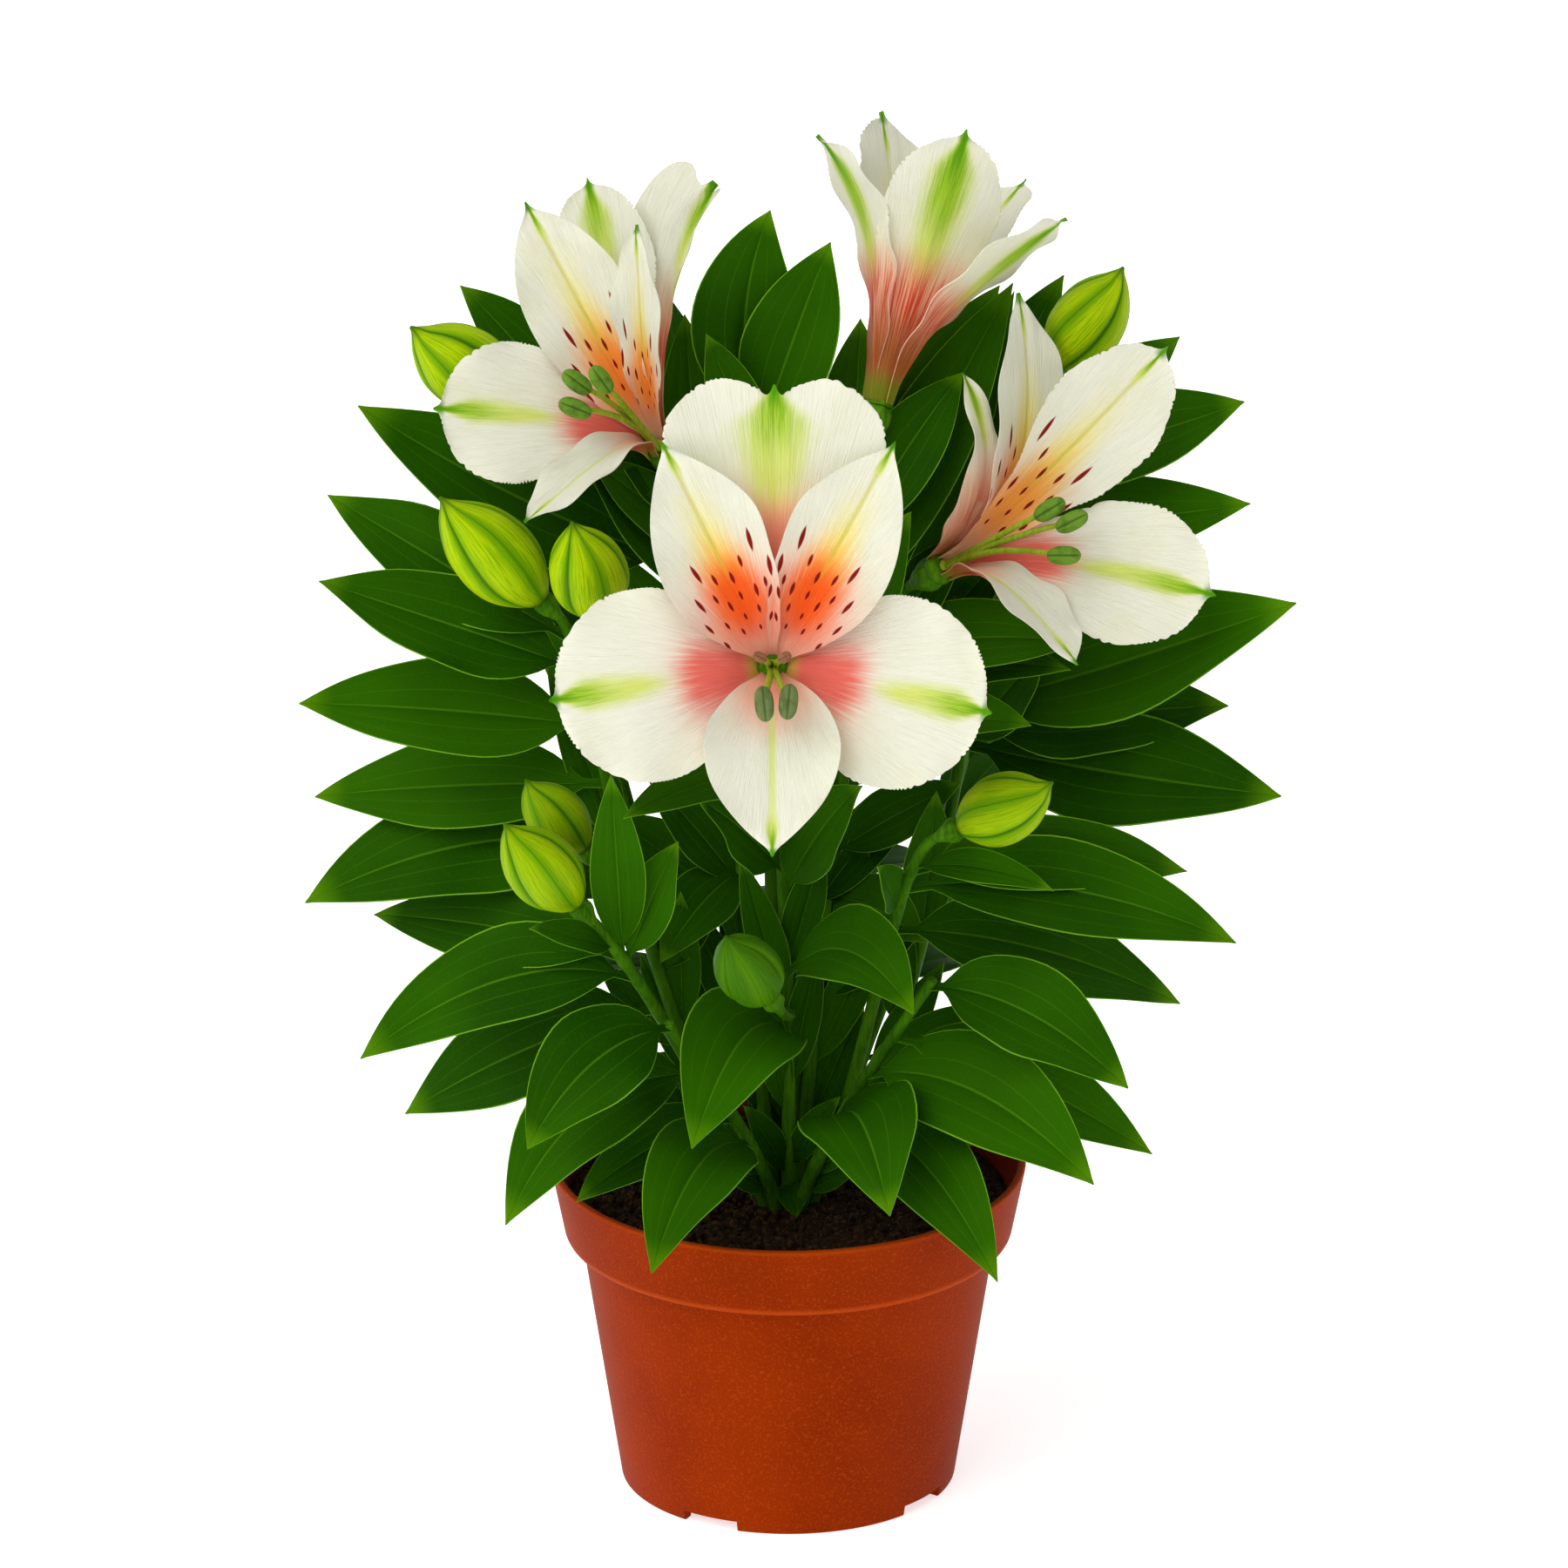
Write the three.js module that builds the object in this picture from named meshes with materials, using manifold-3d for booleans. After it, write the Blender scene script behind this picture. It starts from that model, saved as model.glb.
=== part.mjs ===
// A Peruvian lily (Alstroemeria) in a plastic nursery pot: white blooms with green-tipped tepals, lime buds
// and lance-shaped leaves on a clump of leafy stems that stand in the soil.
// Millimetres, +Z up. The origin is on the ground under the middle of the pot, and the front faces -Y.
import * as THREE from "three";
import { mergeVertices } from "three/addons/utils/BufferGeometryUtils.js";
import Module from "manifold-3d";

const { Vector2, Vector3 } = THREE;
const wasm = await Module();
wasm.setup();

// Pot
const POT_SIDES = 32;
const POT_HEIGHT = 85;
const RIM_RADIUS = 60;
const COLLAR_HEIGHT = 19;
const COLLAR_FOOT_RADIUS = 56.2;
const BODY_TOP_RADIUS = 52.2;
const FOOT_RADIUS = 42;
const FOOT_RING_WIDTH = 3.2;
const FOOT_HEIGHT = 3.2;
const POT_WALL = 1.8;
const COLLAR_ROUND = 1.4;
const COLLAR_WALL = 2.2;
const LIP_ROUND = 0.8;
const LIP_WIDTH = 2.1;
const NOTCH_BEARINGS = [-28, 54, 144, 236];
const NOTCH_WIDTH = 15;
const NOTCH_HEIGHT = 2.8;
const DRAIN_COUNT = 6;
const DRAIN_RADIUS = 4;
const DRAIN_CIRCLE = 25;
const DRAIN_SIDES = 8;

// Soil
const SOIL_SIDES = 20;
const SOIL_TOP = 75;
const SOIL_GAP = 0.35;
const SOIL_SWELL = 0.7;
const SOIL_RINGS = [42, 26];
const HOLE_GAP = 0.45;
const ROOT_DEPTH = 12;
const COLLAR_ABOVE_SOIL = 1.6;

// Stems, leaves and flowers
const STEM_SIDES = 5;
const STEM_STEPS = 5;
const STEM_FOOT_RADIUS = 1.8;
const STEM_TOP_RADIUS = 1.35;
const BRANCH_RADIUS = 1.3;
const BRANCH_STEPS = 3;
const BLADE = 0.7;
const LEAF_STATIONS = [0, 0.1, 0.3, 0.56, 0.8, 1];
const SMALL_LEAF_STATIONS = [0, 0.1, 0.38, 0.72, 1];
const SMALL_LEAF_WIDTH = 18;
const LEAF_SWELL = 0.75;
const LEAF_TAPER = 1;
const LEAF_FOLD = 0.22;
const PETIOLE_SHARE = 0.1;
const PETIOLE_BREADTH = 0.09;
const LEAF_POINT = 0.05;
const LEAF_CREST = 0.45;
const SEAT_GAP = 0.35;
const OUTER_COLUMNS = [-1, -0.55, 0, 0.55, 1];
const INNER_COLUMNS = [-1, 0, 1];
const OUTER_STATIONS = [0, 0.22, 0.44, 0.66, 0.86, 1];
const INNER_STATIONS = [0, 0.2, 0.4, 0.6, 0.82, 1];
const CLAW_HALF = 1.7;
const OUTER_CUP = 0.18;
const INNER_CUP = 0.5;
const HUB_RADIUS = 4;
const HUB_HEIGHT = 2.6;
const CLAW_RADIUS = 3.1;
const WHORL_APART = 0.5;
// A tepal's outline: where it is widest, how fast it swells to there, how it rounds off and how broad it ends.
const OUTLINES = {
  heart: { widest: 0.78, swell: 1, rounding: 3, end: 0.72 },
  round: { widest: 0.58, swell: 0.85, rounding: 3, end: 0.45 },
  spoon: { widest: 0.68, swell: 1.35, rounding: 3, end: 0.45 },
  oval: { widest: 0.5, swell: 1, rounding: 2, end: 0.07 },
  lance: { widest: 0.62, swell: 1.35, rounding: 2.4, end: 0.07 },
};
const HEART_LOBE = 0.045;
const TEPAL_CLAW_END = 0.1;
const CREST_CORNER = 0.08;
const THROAT_APART = { outer: 2.4, inner: 0.8 };
const CUP_EASES = 0.8;
const FILAMENT_RADIUS = 0.65;
const FILAMENT_STATIONS = [0, 0.55, 1];
const DISC_RADIUS = 1.6;
const DISC_HEIGHT = 1.4;
const BUD_SIDES = 10;
const BUD_CREASE = 0.07;

// The ovary under a flower, as distances along the stem's end and radii.
const OVARY = {
  bloom: { length: 10, shape: [[2.5, 2.2], [6.5, 3.9], [10, 3.5]] },
  bud: { length: 7, shape: [[2, 2], [4.6, 3], [7, 2.4]] },
};
// An anther by distances along it from its middle and radii.
const ANTHER_SHAPE = [[-3.3, 1], [0, 1.9], [3.3, 0.9]];
// A bud's outline along its length, as shares of its length and of its radius.
const BUD_SHAPE = [[0, 0.3], [0.14, 0.7], [0.4, 1], [0.66, 0.86], [0.86, 0.44]];

const GREEN = { color: 0x2f6a0c, roughness: 0.55 };
const LIME = { color: 0x86b81a, roughness: 0.5 };
const WHITE = { color: 0xf4f2e4, roughness: 0.6 };
const ANTHER = { color: 0x6d7f3c, roughness: 0.7 };
const PLASTIC = { color: 0xb23a14, roughness: 0.5 };
const EARTH = { color: 0x231408, roughness: 0.95 };

// The plant was measured as it is seen from the front and 22.5 degrees above: across and up square to that
// line of sight, and how far back from the pot's axis.
const SIGHT_TILT = THREE.MathUtils.degToRad(22.5);

function seen(across, up, back) {
  return new Vector3(across, back, (up - back * Math.sin(SIGHT_TILT)) / Math.cos(SIGHT_TILT));
}

// An offset in that view: across, up, and near, which is towards the eye.
function seenOffset(across, up, near) {
  const sin = Math.sin(SIGHT_TILT);
  const cos = Math.cos(SIGHT_TILT);
  return new Vector3(across, up * sin - near * cos, up * cos + near * sin);
}

// A leaf by the share of the stem where it grows, its tip as seen, its width and how high it arches for its
// length.
function leaf(share, across, up, back, width, arch = 0.15) {
  return { share, tip: seen(across, up, back), width, arch };
}

// A tepal by its tip from the hub in the view, its width, how many degrees its blade turns about its length,
// and its outline.
function outer(across, up, near, width, turn = 0, outline = "spoon") {
  return { kind: "outer", tip: seenOffset(across, up, near), width, turn, outline };
}

function inner(across, up, near, width, outline = "lance") {
  return { kind: "inner", tip: seenOffset(across, up, near), width, turn: 0, outline };
}

// A stamen by the middle of its anther from the hub in the view, and the way the anther points.
function stamen(across, up, near, pointAcross, pointUp, pointNear) {
  return {
    anther: seenOffset(across, up, near),
    point: seenOffset(pointAcross, pointUp, pointNear).normalize(),
  };
}

const BLOOMS = [
  {
    name: "bloom_front",
    hub: seen(-4, 202, -46),
    axis: seenOffset(0, 0, 1),
    tube: 12,
    tepals: [
      outer(0.5, 69, 13, 55, 0, "heart"),
      outer(-54, -8.5, 13, 48, 0, "round"),
      outer(53, -11.5, 13, 48, 0, "round"),
      inner(-27, 54.5, 19, 31, "oval"),
      inner(30, 54.5, 19, 31, "oval"),
      inner(0, -46.5, 20, 34, "oval"),
    ],
    stamens: [
      stamen(-2, -9.5, 24, 0.1, -1, 0.1),
      stamen(4, -9, 24, -0.1, -1, 0.1),
      stamen(-3, 2, 20, -0.6, 0.3, 0.8),
      stamen(3, 2, 20, 0.6, 0.3, 0.8),
    ],
  },
  {
    name: "bloom_upper_left",
    hub: seen(-31, 255, 8),
    axis: seenOffset(-0.38, 0.55, 0.74),
    tube: 17,
    tepals: [
      outer(-19, 67.5, -2, 26),
      outer(-56, 11, 20, 36, -35),
      outer(7, 69.5, 6, 28, 10),
      inner(-34, 61.5, 18, 30),
      inner(-7, 55.5, 26, 24),
      inner(-34, -16, 34, 21),
    ],
    stamens: [
      stamen(-22, 17, 26, -0.8, 0.2, 0.5),
      stamen(-22, 10, 28, -0.8, 0, 0.5),
      stamen(-15, 17, 30, -0.5, 0.6, 0.6),
    ],
  },
  {
    name: "bloom_top",
    hub: seen(22, 267, 10),
    axis: seenOffset(0.22, 0.96, -0.1),
    tube: 22,
    tepals: [
      outer(-13.5, 66.5, 4, 30),
      outer(23.5, 67.5, 14, 36),
      outer(47, 45.5, 2, 30),
      inner(2, 72, -28, 24),
      inner(36, 55, -26, 22),
      inner(16, 58, -36, 20),
    ],
    stamens: [
      stamen(8, 38, -2, 0.2, 1, 0),
      stamen(14, 36, -3, 0.4, 1, 0),
      stamen(11, 34, -6, 0.3, 1, -0.3),
    ],
  },
  {
    name: "bloom_right",
    hub: seen(37, 226, 6),
    axis: seenOffset(0.6, 0.35, 0.72),
    tube: 15,
    tepals: [
      outer(6.5, 49, 14, 30),
      outer(30, 38, 2, 24),
      outer(68, -6.5, 20, 38, 25),
      inner(20.5, 68, 14, 26),
      inner(58, 55.5, 18, 33),
      inner(34, -23.5, 38, 20),
    ],
    stamens: [
      stamen(28, 15, 24, 0.8, 0.4, 0.4),
      stamen(33, 12, 26, 0.9, 0.2, 0.4),
      stamen(31.5, 3.5, 28, 1, 0, 0.4),
    ],
  },
];

const BUDS = [
  { name: "bud_left", base: seen(-62, 219, -14), tip: seen(-87, 243, -20), radius: 10.2 },
  { name: "bud_left_inner", base: seen(-46, 215, -24), tip: seen(-54, 237, -34), radius: 9.6 },
  { name: "bud_upper_left", base: seen(-68, 273, 15), tip: seen(-94, 286, 11), radius: 9.2 },
  { name: "bud_low_left", base: seen(-53, 143, -46), tip: seen(-71, 162, -54), radius: 8.8 },
  { name: "bud_low_left_small", base: seen(-51, 157, -28), tip: seen(-66, 173, -32), radius: 7.4 },
  { name: "bud_upper_right", base: seen(67, 277, 31), tip: seen(84, 301, 30), radius: 9.2 },
  { name: "bud_right", base: seen(43, 162, -40), tip: seen(66, 172, -48), radius: 8.8 },
  { name: "bud_front", base: seen(-5, 118, -46), tip: seen(-16, 132, -62), radius: 9 },
];

const STEMS = [
  {
    name: "stem_front",
    root: [0, -6],
    bend: seen(1, 130, -12),
    flower: "bloom_front",
    lead: 34,
    branches: [{ flower: "bud_front", from: 0.22, lead: 12, leaves: [] }],
    leaves: [
      leaf(0.3, 31, 116, -66, 22, 0.35),
      leaf(0.24, -24, 82, -76, 25, 0.4),
      leaf(0.62, -41, 164, -62, 14, 0.1),
      leaf(0.45, -23, 169, -36, 20, 0.1),
      leaf(0.42, 17, 172, -34, 18, 0.1),
    ],
  },
  {
    name: "stem_left",
    root: [-8, -2],
    bend: seen(-42, 125, -4),
    flower: "bud_left",
    lead: 14,
    branches: [{ flower: "bud_left_inner", from: 0.82, lead: 10, leaves: [] }],
    leaves: [
      leaf(0.88, -115, 245, 14, 20, 0.08),
      leaf(0.8, -117, 223, -12, 20, 0.12),
      leaf(0.68, -122, 193, -14, 21, 0.17),
      leaf(0.58, -119, 170, 6, 18, 0.17),
      leaf(0.5, -93, 182, 16, 15, 0.1),
      leaf(0.48, -121, 143, -8, 20, 0.16),
    ],
  },
  {
    name: "stem_low_left",
    root: [-6, -7],
    bend: seen(-28, 110, -22),
    flower: "bud_low_left",
    lead: 12,
    branches: [{ flower: "bud_low_left_small", from: 0.75, lead: 9, leaves: [] }],
    leaves: [
      leaf(0.78, -64, 137, -68, 9, 0.02),
      leaf(0.72, -44, 174, -58, 14, 0.02),
      leaf(0.7, -28, 158, -46, 14, 0.04),
      leaf(0.72, -104, 140, 0, 14, 0.15),
      leaf(0.62, -107, 104, -32, 24, 0.3),
      leaf(0.5, -97, 91, -12, 20, 0.2),
    ],
  },
  {
    name: "shoot_front_left",
    root: [-3, -11],
    bend: seen(-8, 84, -20),
    knee: seen(-20, 98, -32),
    top: seen(-30, 113, -38),
    leaves: [
      leaf(0.97, -66, 83, -68, 23, 0.25),
      leaf(0.7, -70, 63, -54, 19, 0.3),
      leaf(0.45, -54, 70, -38, 14, 0.2),
      leaf(0.35, -34, 51, -95, 21, 0.3),
    ],
  },
  {
    name: "stem_right",
    root: [8, -2],
    bend: seen(46, 125, 4),
    flower: "bud_upper_right",
    lead: 30,
    leaves: [
      leaf(0.8, 98, 284, 48, 14, 0.1),
      leaf(0.72, 69, 300, 50, 14, 0.05),
      leaf(0.86, 114, 268, 24, 18, 0.08),
      leaf(0.76, 115, 243, 14, 18, 0.15),
      leaf(0.6, 126, 218, -10, 25, 0.07),
      leaf(0.52, 110, 193, 14, 20, 0.1),
      leaf(0.5, 123, 170, -8, 22, 0.1),
    ],
  },
  {
    name: "stem_right_bloom",
    root: [3, -1],
    bend: seen(8, 140, 4),
    flower: "bloom_right",
    lead: 26,
    leaves: [
      leaf(0.75, 73, 208, -16, 20, 0.1),
      leaf(0.6, 60, 188, -20, 18, 0.1),
      leaf(0.36, 34, 133, -14, 17, 0.2),
    ],
  },
  {
    name: "stem_low_right",
    root: [6, -7],
    bend: seen(22, 106, -18),
    flower: "bud_right",
    lead: 14,
    leaves: [
      leaf(0.8, 66, 146, -60, 9, 0.15),
      leaf(0.78, 100, 151, -10, 18, 0.15),
      leaf(0.72, 112, 133, -24, 23, 0.28),
      leaf(0.6, 99, 118, -6, 18, 0.2),
      leaf(0.66, 23, 152, -46, 11, 0.02),
    ],
  },
  {
    name: "shoot_front_right",
    root: [3, -11],
    bend: seen(8, 84, -20),
    knee: seen(20, 100, -32),
    top: seen(36, 124, -40),
    leaves: [
      leaf(0.97, 85, 97, -54, 22, 0.25),
      leaf(0.78, 91, 80, -32, 20, 0.28),
      leaf(0.62, 76, 73, -70, 24, 0.32),
      leaf(0.5, 56, 116, -14, 15, 0.15),
      leaf(0.4, 52, 49, -84, 21, 0.3),
      leaf(0.3, 25, 66, -86, 24, 0.35),
      leaf(0.2, 51, 83, -16, 12, 0.2),
    ],
  },
  {
    name: "stem_top_bloom",
    root: [1, 4],
    bend: seen(4, 150, 8),
    flower: "bloom_top",
    lead: 40,
    leaves: [
      leaf(0.68, 56, 297, 36, 20, 0.04),
      leaf(0.75, 52, 296, 54, 22, 0.08),
      leaf(0.6, 43, 275, 27, 17, 0.1),
      leaf(0.66, 46, 264, 40, 15, 0.1),
      leaf(0.84, 19, 288, 34, 14, 0.1),
      leaf(0.6, 30, 240, -8, 17, 0.1),
    ],
  },
  {
    name: "stem_upper_left_bloom",
    root: [-4, 1],
    bend: seen(-12, 140, 4),
    flower: "bloom_upper_left",
    lead: 26,
    branches: [
      {
        flower: "bud_upper_left",
        from: 0.66,
        lead: 18,
        leaves: [leaf(0.6, -82, 297, 32, 18, 0.08), leaf(0.4, -107, 267, 10, 20, 0.08)],
      },
    ],
    leaves: [
      leaf(0.7, -51, 252, 6, 17, 0.1),
      leaf(0.8, -26, 290, 34, 17, 0.08),
      leaf(0.6, -16, 240, -8, 17, 0.1),
      leaf(0.36, -32, 128, -12, 17, 0.2),
    ],
  },
  {
    name: "shoot_top",
    root: [-3, 7],
    bend: seen(-4, 150, 10),
    knee: seen(-6, 220, 18),
    top: seen(-8, 262, 20),
    leaves: [
      leaf(1, -4, 315, 22, 23, 0.04),
      leaf(0.96, 10, 307, 14, 22, 0.06),
      leaf(0.9, -20, 284, 8, 14, 0.08),
      leaf(0.8, 12, 262, 44, 18, 0.1),
      leaf(0.72, -22, 246, 40, 18, 0.1),
    ],
  },
];

// The side away from the front holds leafy shoots, set out by a rule: bearings fan round the back, and the
// leaves of a shoot alternate left and right, drooping low down and rising towards its top.
const BACK_SHOOTS = 5;
const BACK_ROOTS = [[7, 4], [4, 9], [-1, 12.5], [-7, 11], [-9, 5]];
const BACK_FIRST_BEARING = 38;
const BACK_BEARING_STEP = 26;
const BACK_HEIGHTS = [196, 244, 218, 250, 200];
const BACK_REACH = [60, 52, 60, 50, 60];
const BACK_LEAVES = 6;
const BACK_BEND_SHARE = 0.3;
const BACK_KNEE = { inwards: 8, drop: 40 };
// Each pair holds the value at the lowest leaf and at the topmost one.
const BACK_SHARE = [0.26, 1];
const BACK_TURN = [12, 32];
const BACK_PITCH = [-20, 62];
const BACK_LENGTH = [60, 50];
const BACK_WIDTH = [21, 18];
const BACK_ARCH = [0.3, 0.12];
// One more low leaf on the first and the last of them covers the pot's rim at the sides.
const BACK_LOW_LEAVES = {
  0: [leaf(0.15, 48, 99, 22, 17, 0.2)],
  4: [leaf(0.15, -48, 97, 22, 17, 0.2)],
};

function heading(bearing) {
  const angle = THREE.MathUtils.degToRad(bearing);
  return new Vector3(Math.cos(angle), Math.sin(angle), 0);
}

function along(range, rise) {
  return THREE.MathUtils.lerp(range[0], range[1], rise);
}

function backShoot(index) {
  const bearing = BACK_FIRST_BEARING + BACK_BEARING_STEP * index;
  const out = heading(bearing);
  const [x, y] = BACK_ROOTS[index];
  const foot = new Vector3(x, y, SOIL_TOP);
  const top = out.clone().multiplyScalar(BACK_REACH[index]).setZ(BACK_HEIGHTS[index]);
  const bend = foot.clone().lerp(top, BACK_BEND_SHARE);
  const knee = top.clone().addScaledVector(out, -BACK_KNEE.inwards);
  knee.z -= BACK_KNEE.drop;
  const leaves = [...(BACK_LOW_LEAVES[index] ?? [])];
  for (let i = 0; i < BACK_LEAVES; i++) {
    const rise = i / (BACK_LEAVES - 1);
    const hand = i === BACK_LEAVES - 1 ? 0 : ((i + index) % 2) * 2 - 1;
    const pitch = THREE.MathUtils.degToRad(along(BACK_PITCH, rise * rise));
    const length = along(BACK_LENGTH, rise);
    const level = length * Math.cos(pitch);
    const reach = heading(bearing + hand * along(BACK_TURN, rise)).multiplyScalar(level);
    reach.z = length * Math.sin(pitch);
    const share = along(BACK_SHARE, rise);
    leaves.push({ share, reach, width: along(BACK_WIDTH, rise), arch: along(BACK_ARCH, rise), faces: "out" });
  }
  return { name: `shoot_back_${index + 1}`, root: [x, y], bend, knee, top, leaves };
}

// Geometry from rows of points, and solids from geometry

function closedGeometry(points, triangles) {
  const geometry = new THREE.BufferGeometry().setFromPoints(points);
  geometry.setIndex(triangles);
  return geometry;
}

function solidOf(geometry) {
  return new wasm.Manifold(
    new wasm.Mesh({
      numProp: 3,
      vertProperties: new Float32Array(geometry.getAttribute("position").array),
      triVerts: new Uint32Array(geometry.index.array),
    }),
  );
}

function solidOfShape(geometry) {
  geometry.deleteAttribute("normal");
  geometry.deleteAttribute("uv");
  return solidOf(mergeVertices(geometry, 1e-4));
}

function geometryOf(solid) {
  const mesh = solid.getMesh();
  const geometry = new THREE.BufferGeometry();
  geometry.setAttribute("position", new THREE.BufferAttribute(mesh.vertProperties, 3));
  geometry.setIndex(new THREE.BufferAttribute(mesh.triVerts, 1));
  geometry.computeVertexNormals();
  return geometry;
}

function fuse(solids) {
  return solids.reduce((whole, piece) => whole.add(piece));
}

// A closed skin over rings of equal count, each running anticlockwise as seen from the far end. A ring of one
// point closes an end to that point.
function loft(rings) {
  const points = rings.flat();
  const starts = [];
  let count = 0;
  for (const ring of rings) {
    starts.push(count);
    count += ring.length;
  }
  const triangles = [];
  for (let i = 0; i < rings.length - 1; i++) {
    const a = starts[i];
    const b = starts[i + 1];
    const here = rings[i].length;
    const there = rings[i + 1].length;
    for (let j = 0; j < Math.max(here, there); j++) {
      const k = (j + 1) % Math.max(here, there);
      if (here > 1) triangles.push(a + j, a + k, b + (k % there));
      if (there > 1) triangles.push(a + (j % here), b + k, b + j);
    }
  }
  const last = rings.length - 1;
  const first = starts[0];
  const final = starts[last];
  for (let j = 1; j < rings[0].length - 1; j++) triangles.push(first, first + j + 1, first + j);
  for (let j = 1; j < rings[last].length - 1; j++) triangles.push(final, final + j, final + j + 1);
  return solidOf(closedGeometry(points, triangles));
}

// A thin blade from rows of stations: each station holds its points from edge to edge and the way it faces.
// Both faces are split into triangles alike, with a wall round the edge.
function blade(stations, thickness) {
  const across = stations[0].points.length;
  const points = [];
  for (const side of [0.5, -0.5]) {
    for (const station of stations) {
      const shift = station.normal.clone().multiplyScalar(side * thickness);
      points.push(...station.points.map((point) => point.clone().add(shift)));
    }
  }
  const face = (i, j) => i * across + j;
  const back = (i, j) => (stations.length + i) * across + j;
  const triangles = [];
  const quad = (a, b, c, d) => triangles.push(a, b, c, a, c, d);
  const end = stations.length - 1;
  for (let i = 0; i < end; i++) {
    for (let j = 0; j < across - 1; j++) {
      quad(face(i, j), face(i + 1, j), face(i + 1, j + 1), face(i, j + 1));
      triangles.push(back(i, j), back(i + 1, j + 1), back(i + 1, j));
      triangles.push(back(i, j), back(i, j + 1), back(i + 1, j + 1));
    }
    quad(face(i, 0), back(i, 0), back(i + 1, 0), face(i + 1, 0));
    quad(face(i, across - 1), face(i + 1, across - 1), back(i + 1, across - 1), back(i, across - 1));
  }
  for (let j = 0; j < across - 1; j++) {
    quad(face(0, j), face(0, j + 1), back(0, j + 1), back(0, j));
    quad(face(end, j), back(end, j), back(end, j + 1), face(end, j + 1));
  }
  return solidOf(closedGeometry(points, triangles));
}

// Rings of a tube along points, with the radius at each. Each ring carries on the side of the one before, so
// that the tube doesn't twist.
function tubeRings(points, radii, sides) {
  let side = null;
  return points.map((point, i) => {
    const before = points[Math.max(i - 1, 0)];
    const after = points[Math.min(i + 1, points.length - 1)];
    const along = after.clone().sub(before).normalize();
    if (!side) side = Math.abs(along.x) < 0.7 ? new Vector3(1, 0, 0) : new Vector3(0, 1, 0);
    side = side.clone().addScaledVector(along, -side.dot(along)).normalize();
    const other = along.clone().cross(side);
    return Array.from({ length: sides }, (_, j) => {
      const angle = (2 * Math.PI * j) / sides;
      return point
        .clone()
        .addScaledVector(side, radii[i] * Math.cos(angle))
        .addScaledVector(other, radii[i] * Math.sin(angle));
    });
  });
}

function mesh(name, solid, finish) {
  const made = new THREE.Mesh(geometryOf(solid), new THREE.MeshStandardMaterial(finish));
  made.name = name;
  return made;
}

// Pot and soil

function lathe(profile, sides) {
  const outline = profile.map(([radius, height]) => new Vector2(radius, height));
  const turned = new THREE.LatheGeometry(outline, sides);
  turned.rotateX(Math.PI / 2);
  return turned;
}

function potInnerRadius(height) {
  const floor = FOOT_HEIGHT + POT_WALL;
  const shoulder = POT_HEIGHT - COLLAR_HEIGHT;
  const share = (height - floor) / (shoulder - floor);
  return THREE.MathUtils.lerp(FOOT_RADIUS - POT_WALL, BODY_TOP_RADIUS - POT_WALL, share);
}

function pot() {
  const shoulder = POT_HEIGHT - COLLAR_HEIGHT;
  const floor = FOOT_HEIGHT + POT_WALL;
  const profile = [
    [0, FOOT_HEIGHT],
    [FOOT_RADIUS - FOOT_RING_WIDTH, FOOT_HEIGHT],
    [FOOT_RADIUS - FOOT_RING_WIDTH, 0],
    [FOOT_RADIUS, 0],
    [BODY_TOP_RADIUS, shoulder - COLLAR_ROUND / 2],
    [COLLAR_FOOT_RADIUS - COLLAR_ROUND, shoulder],
    [COLLAR_FOOT_RADIUS, shoulder + COLLAR_ROUND],
    [RIM_RADIUS, POT_HEIGHT - LIP_ROUND],
    [RIM_RADIUS - LIP_ROUND, POT_HEIGHT],
    [RIM_RADIUS - LIP_WIDTH, POT_HEIGHT - LIP_ROUND / 2],
    [COLLAR_FOOT_RADIUS - COLLAR_WALL, shoulder + COLLAR_WALL],
    [potInnerRadius(shoulder), shoulder + COLLAR_ROUND],
    [potInnerRadius(floor), floor],
    [0, floor],
  ];
  let body = solidOfShape(lathe(profile, POT_SIDES));
  for (const bearing of NOTCH_BEARINGS) {
    const notch = new THREE.BoxGeometry(NOTCH_WIDTH, 4 * FOOT_RING_WIDTH, 2 * NOTCH_HEIGHT);
    notch.translate(0, -FOOT_RADIUS, 0);
    notch.rotateZ(THREE.MathUtils.degToRad(bearing));
    body = body.subtract(solidOfShape(notch));
  }
  for (let i = 0; i < DRAIN_COUNT; i++) {
    const drain = new THREE.CylinderGeometry(DRAIN_RADIUS, DRAIN_RADIUS, 4 * POT_WALL, DRAIN_SIDES);
    drain.rotateX(Math.PI / 2);
    drain.translate(DRAIN_CIRCLE, 0, FOOT_HEIGHT);
    drain.rotateZ((2 * Math.PI * (i + 0.5)) / DRAIN_COUNT);
    body = body.subtract(solidOfShape(drain));
  }
  return mesh("pot", body, PLASTIC);
}

function soilSwell(x, y) {
  return SOIL_SWELL * (Math.sin(0.31 * x + 1.3) * Math.cos(0.27 * y) + 0.5 * Math.sin(0.5 * y + 0.4 * x));
}

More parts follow.
